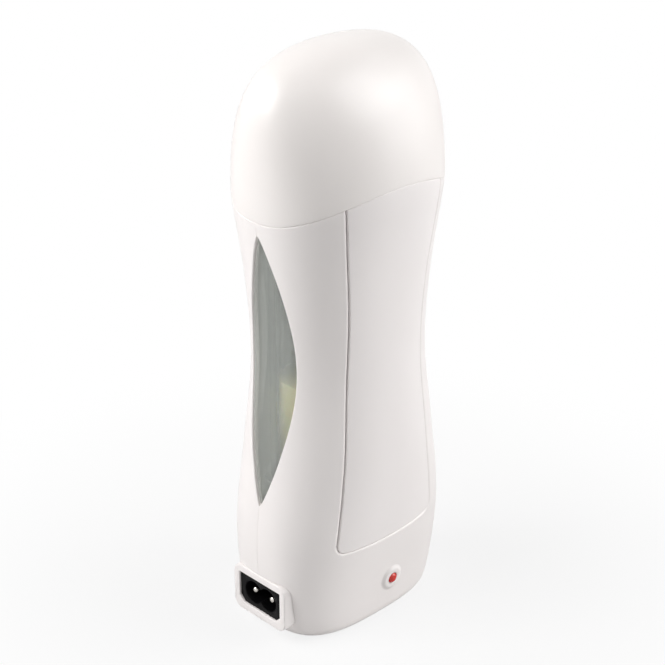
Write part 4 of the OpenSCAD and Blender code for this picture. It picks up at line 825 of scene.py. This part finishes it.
# Clear polypropylene: nearly colourless, with a slightly waxy shine.
tank_plastic = tinted("clear polypropylene, blow moulded", "#D9DED8", 0.18, 40.0,
                      Transmission_Weight=0.5, IOR=1.45, Alpha=0.13)
# Set wax: pale honey yellow that glows a little where light enters it.
wax_honey = moulded("honey wax, set in the tank", "#FBEE9C", "#FFF6BE", 0.36, 90.0, 500.0, 0.05,
                    Subsurface_Weight=0.3, Subsurface_Scale=0.004)
# Polypropylene head: warmer and softer to the eye than ABS.
head_plastic = moulded("white polypropylene, roller head", "#EDEBE4", "#F2F0EA", 0.34, 60.0)
dress(softened("cartridge_tank", "wax_tank", 0.5, 3), tank_plastic,
      "cartridge_tank", "cartridge")
dress(softened("wax_fill", "honey_wax", 0.6, 3), wax_honey, "wax_fill", "cartridge")
dress(softened("roller_head", "head_finished", 0.4, 3), head_plastic,
      "roller_head", "cartridge")

# ---------------------------------------------------------------------------------------------
# Roller: a wide drum turned in white acetal that spreads the wax, on two stub axles that run
# in the head's bearings.
ROLLER_Z, ROLLER_R, ROLLER_HALF, ROLLER_EDGE = 176.75, 9.0, 16.5, 1.0
AXLE_R, AXLE_HALF, AXLE_EDGE = 2.0, 18.7, 0.2
rim_turn = np.radians(np.linspace(0, 90, 7))
# Half its profile of (radius, x), from the axle's end out to the rounded rim.
half_roller = np.concatenate([
    [(0, AXLE_HALF), (AXLE_R - AXLE_EDGE, AXLE_HALF), (AXLE_R, AXLE_HALF - AXLE_EDGE),
     (AXLE_R, ROLLER_HALF)],
    np.stack([ROLLER_R - ROLLER_EDGE + ROLLER_EDGE * np.sin(rim_turn),
              ROLLER_HALF - ROLLER_EDGE + ROLLER_EDGE * np.cos(rim_turn)], -1)])
roller = np.concatenate([half_roller, half_roller[::-1] * (1, -1)])
# Acetal: dense white, smooth and glossy as a roller has to be.
roller_plastic = moulded("white acetal, turned smooth", "#E9E7E2", "#F0EEE9", 0.2, 60.0)
dress(build("wax_roller", *turned(roller, 96, "x", (0, 0, ROLLER_Z))), roller_plastic,
      "roller", "roller")

# ---------------------------------------------------------------------------------------------
# Cap: one deep dome moulded in polished white ABS, pushed over the collar, with an arched rim.
# The cap rests on the shells' rim, so its gap shows as a hairline.
CAP_H, CAP_WALL, CROWN_T, SEAM_GAP, CAP_RIM = TOP - SEAM, 2.0, 2.4, 0.05, 0.12
LAST = 0.9985  # part of the dome's height that is drawn before its pole is closed


def dome_rings(u, depth=0.0):
    """Rings of the housing's section at parts u of the cap's height, stretched so that the last
    one lies at the top, and three more that shrink it to a point."""
    t = np.linspace(0, 360, 193)[None]
    rings = skin(t, SEAM + CAP_H * u * LAST, depth, SEAM_GAP * (1 - u))
    rings[..., 2] += CAP_H * (1 - LAST) * u
    return np.concatenate([rings] + [rings[-1:] * (f, f, 1) for f in (0.66, 0.33, 0.0)])


def cap_shape():
    """Outer skin by rings at u = sine of equal turns, its rim rounded over CAP_RIM. The inner
    skin is the outer one scaled to the wall's thickness and lowered by CROWN_T at the top."""
    rim = CAP_RIM * (1 - np.sin(np.radians([90, 64, 40, 18, 0]))) / CAP_H
    u = np.concatenate([rim, np.sin(np.linspace(0.02, np.pi / 2, 60))])[:, None]
    out = dome_rings(u, rounding(u * CAP_H, CAP_RIM))
    inn = dome_rings(u)
    u = np.concatenate([u, np.ones((3, 1))])
    inn = np.stack([inn[..., 0] * (1 - 2 * CAP_WALL / WIDTHS[-1, 1]),
                    inn[..., 1] * (1 - 2 * CAP_WALL / DEPTHS[-1, 1]),
                    inn[..., 2] - CROWN_T * u], -1)
    points, faces = [], []
    add_grid(points, faces, np.concatenate([inn[::-1], out]))
    return points, faces


# The cap's ABS: as glossy as the shells', with slower flow marks over its one large face.
cap_abs = moulded("white ABS, cap, polished in the tool", "#F3EEEB", "#F6F1EE", 0.32, 30.0,
                  IOR=1.52)
dress(build("dome_cap", *cap_shape()), cap_abs, "cap", "cap")

# ---------------------------------------------------------------------------------------------
# Set: a pale sweep of paper, seven softboxes on both sides, in front, behind and above, and the
# camera where the photograph was taken from.

# Uncoated paper: flat white with a fine fibre. Seen by the camera, it runs out to plain white
# away from the heater and its shadow.
ground = new_material("white paper sweep")
floor_place = add_node(ground, "TexCoord").outputs["Object"]
fibre = add_node(ground, "TexNoise", {"Vector": floor_place}, Scale=900.0, Detail=3.0)
paper = add_node(ground, "MixRGB", {"Fac": fibre.outputs["Fac"]},
                 Color1=tone("#D6D6D6"), Color2=tone("#DCDCDC"))
sheet = add_node(ground, "BsdfPrincipled", {"Base_Color": paper.outputs["Color"]}, Roughness=0.8)
glow = add_node(ground, "Emission", Color=(1, 1, 1, 1), Strength=1.0)
spread = add_node(ground, "VectorMath", {0: floor_place}, operation="LENGTH")
fade = add_node(ground, "MapRange", {"Value": spread.outputs["Value"]},
                interpolation_type="SMOOTHSTEP",
                From_Min=0.05, From_Max=0.2, To_Min=0.82, To_Max=1.0)
eye = add_node(ground, "LightPath").outputs["Is Camera Ray"]
white = add_node(ground, "Math", {0: fade.outputs["Result"], 1: eye}, operation="MULTIPLY")
swept = add_node(ground, "MixShader",
                 {0: white.outputs[0], 1: sheet.outputs["BSDF"], 2: glow.outputs[0]})
add_node(ground, "OutputMaterial", {"Surface": swept.outputs[0]})
FLOOR_HALF, FLOOR_Z = 2, -0.0001
floor_mesh = bpy.data.meshes.new("floor")
floor_mesh.from_pydata([(x * FLOOR_HALF, y * FLOOR_HALF, FLOOR_Z)
                        for x, y in ((-1, -1), (1, -1), (1, 1), (-1, 1))], [], [(0, 1, 2, 3)])
floor_mesh.materials.append(ground)
floor = bpy.data.objects.new("floor", floor_mesh)
bpy.context.scene.collection.objects.link(floor)


def softbox(name, place, size, watts):
    """Square lamp at a point, turned towards the middle of the heater."""
    light = bpy.data.lights.new(name, "AREA")
    light.shape, light.size, light.energy = "SQUARE", size, watts
    lamp = bpy.data.objects.new(name, light)
    lamp.location = place
    away = np.array(place) - np.array((0, 0, 0.1))
    away /= np.linalg.norm(away)
    lamp.rotation_euler = (np.arccos(away[2]), 0, np.arctan2(away[0], -away[1]))
    bpy.context.scene.collection.objects.link(lamp)


softbox("left_high_softbox", (-1.1, 0.45, 1.0), 0.9, 10.0)
softbox("left_near_softbox", (-0.5, 0.22, 0.55), 0.42, 1.75)
softbox("left_rear_softbox", (-0.4, 0.42, 0.55), 0.42, 1.45)
softbox("right_softbox", (1.0, -0.88, 0.5), 0.9, 5.3)
softbox("front_high_softbox", (0.7, -1.0, 1.0), 0.9, 10.3)
softbox("right_high_softbox", (1.1, -0.5, 1.0), 0.9, 3.0)
softbox("right_low_softbox", (1.1, -0.7, 0.35), 0.9, 2.1)

# The studio seen directly, through glass or in a reflection is white; its own light is faint.
world = bpy.data.worlds.new("studio")
bpy.context.scene.world = world
world.use_nodes = True
world.node_tree.nodes.clear()
rays = add_node(world, "LightPath").outputs
seen = add_node(world, "Math", {0: rays["Is Camera Ray"], 1: rays["Is Transmission Ray"]},
                operation="MAXIMUM")
shown = add_node(world, "Math", {0: seen.outputs[0], 1: rays["Is Glossy Ray"]},
                 operation="MAXIMUM")
studio_light = add_node(world, "Background", Color=(1, 0.95, 0.94, 1), Strength=0.02)
backdrop = add_node(world, "Background", Color=(1, 1, 1, 1), Strength=1.0)
both = add_node(world, "MixShader",
                {0: shown.outputs[0], 1: studio_light.outputs[0], 2: backdrop.outputs[0]})
add_node(world, "OutputWorld", {"Surface": both.outputs[0]})

# Camera: found by fitting the outline, with its focal length in pixels of the photo's width.
TURN, LIFT, DISTANCE = np.radians(44.42), np.radians(24.99), 526.4
AIM_SIDE, AIM_Z = -2.15, 103.37
FOCAL_PX, PHOTO_PX, SENSOR = 1560.9, 665, 36
aim = np.array((np.cos(TURN), -np.sin(TURN), 0)) * AIM_SIDE + (0, 0, AIM_Z)
back = np.array((-np.sin(TURN) * np.cos(LIFT), -np.cos(TURN) * np.cos(LIFT), np.sin(LIFT)))
camera = bpy.data.objects.new("camera", bpy.data.cameras.new("camera"))
camera.location = (aim + DISTANCE * back) * MM
camera.rotation_euler = (np.pi / 2 - LIFT, 0, -TURN)
camera.data.lens, camera.data.sensor_width = FOCAL_PX / PHOTO_PX * SENSOR, SENSOR
bpy.context.scene.collection.objects.link(camera)
bpy.context.scene.camera = camera
bpy.context.scene.view_settings.view_transform = "Standard"
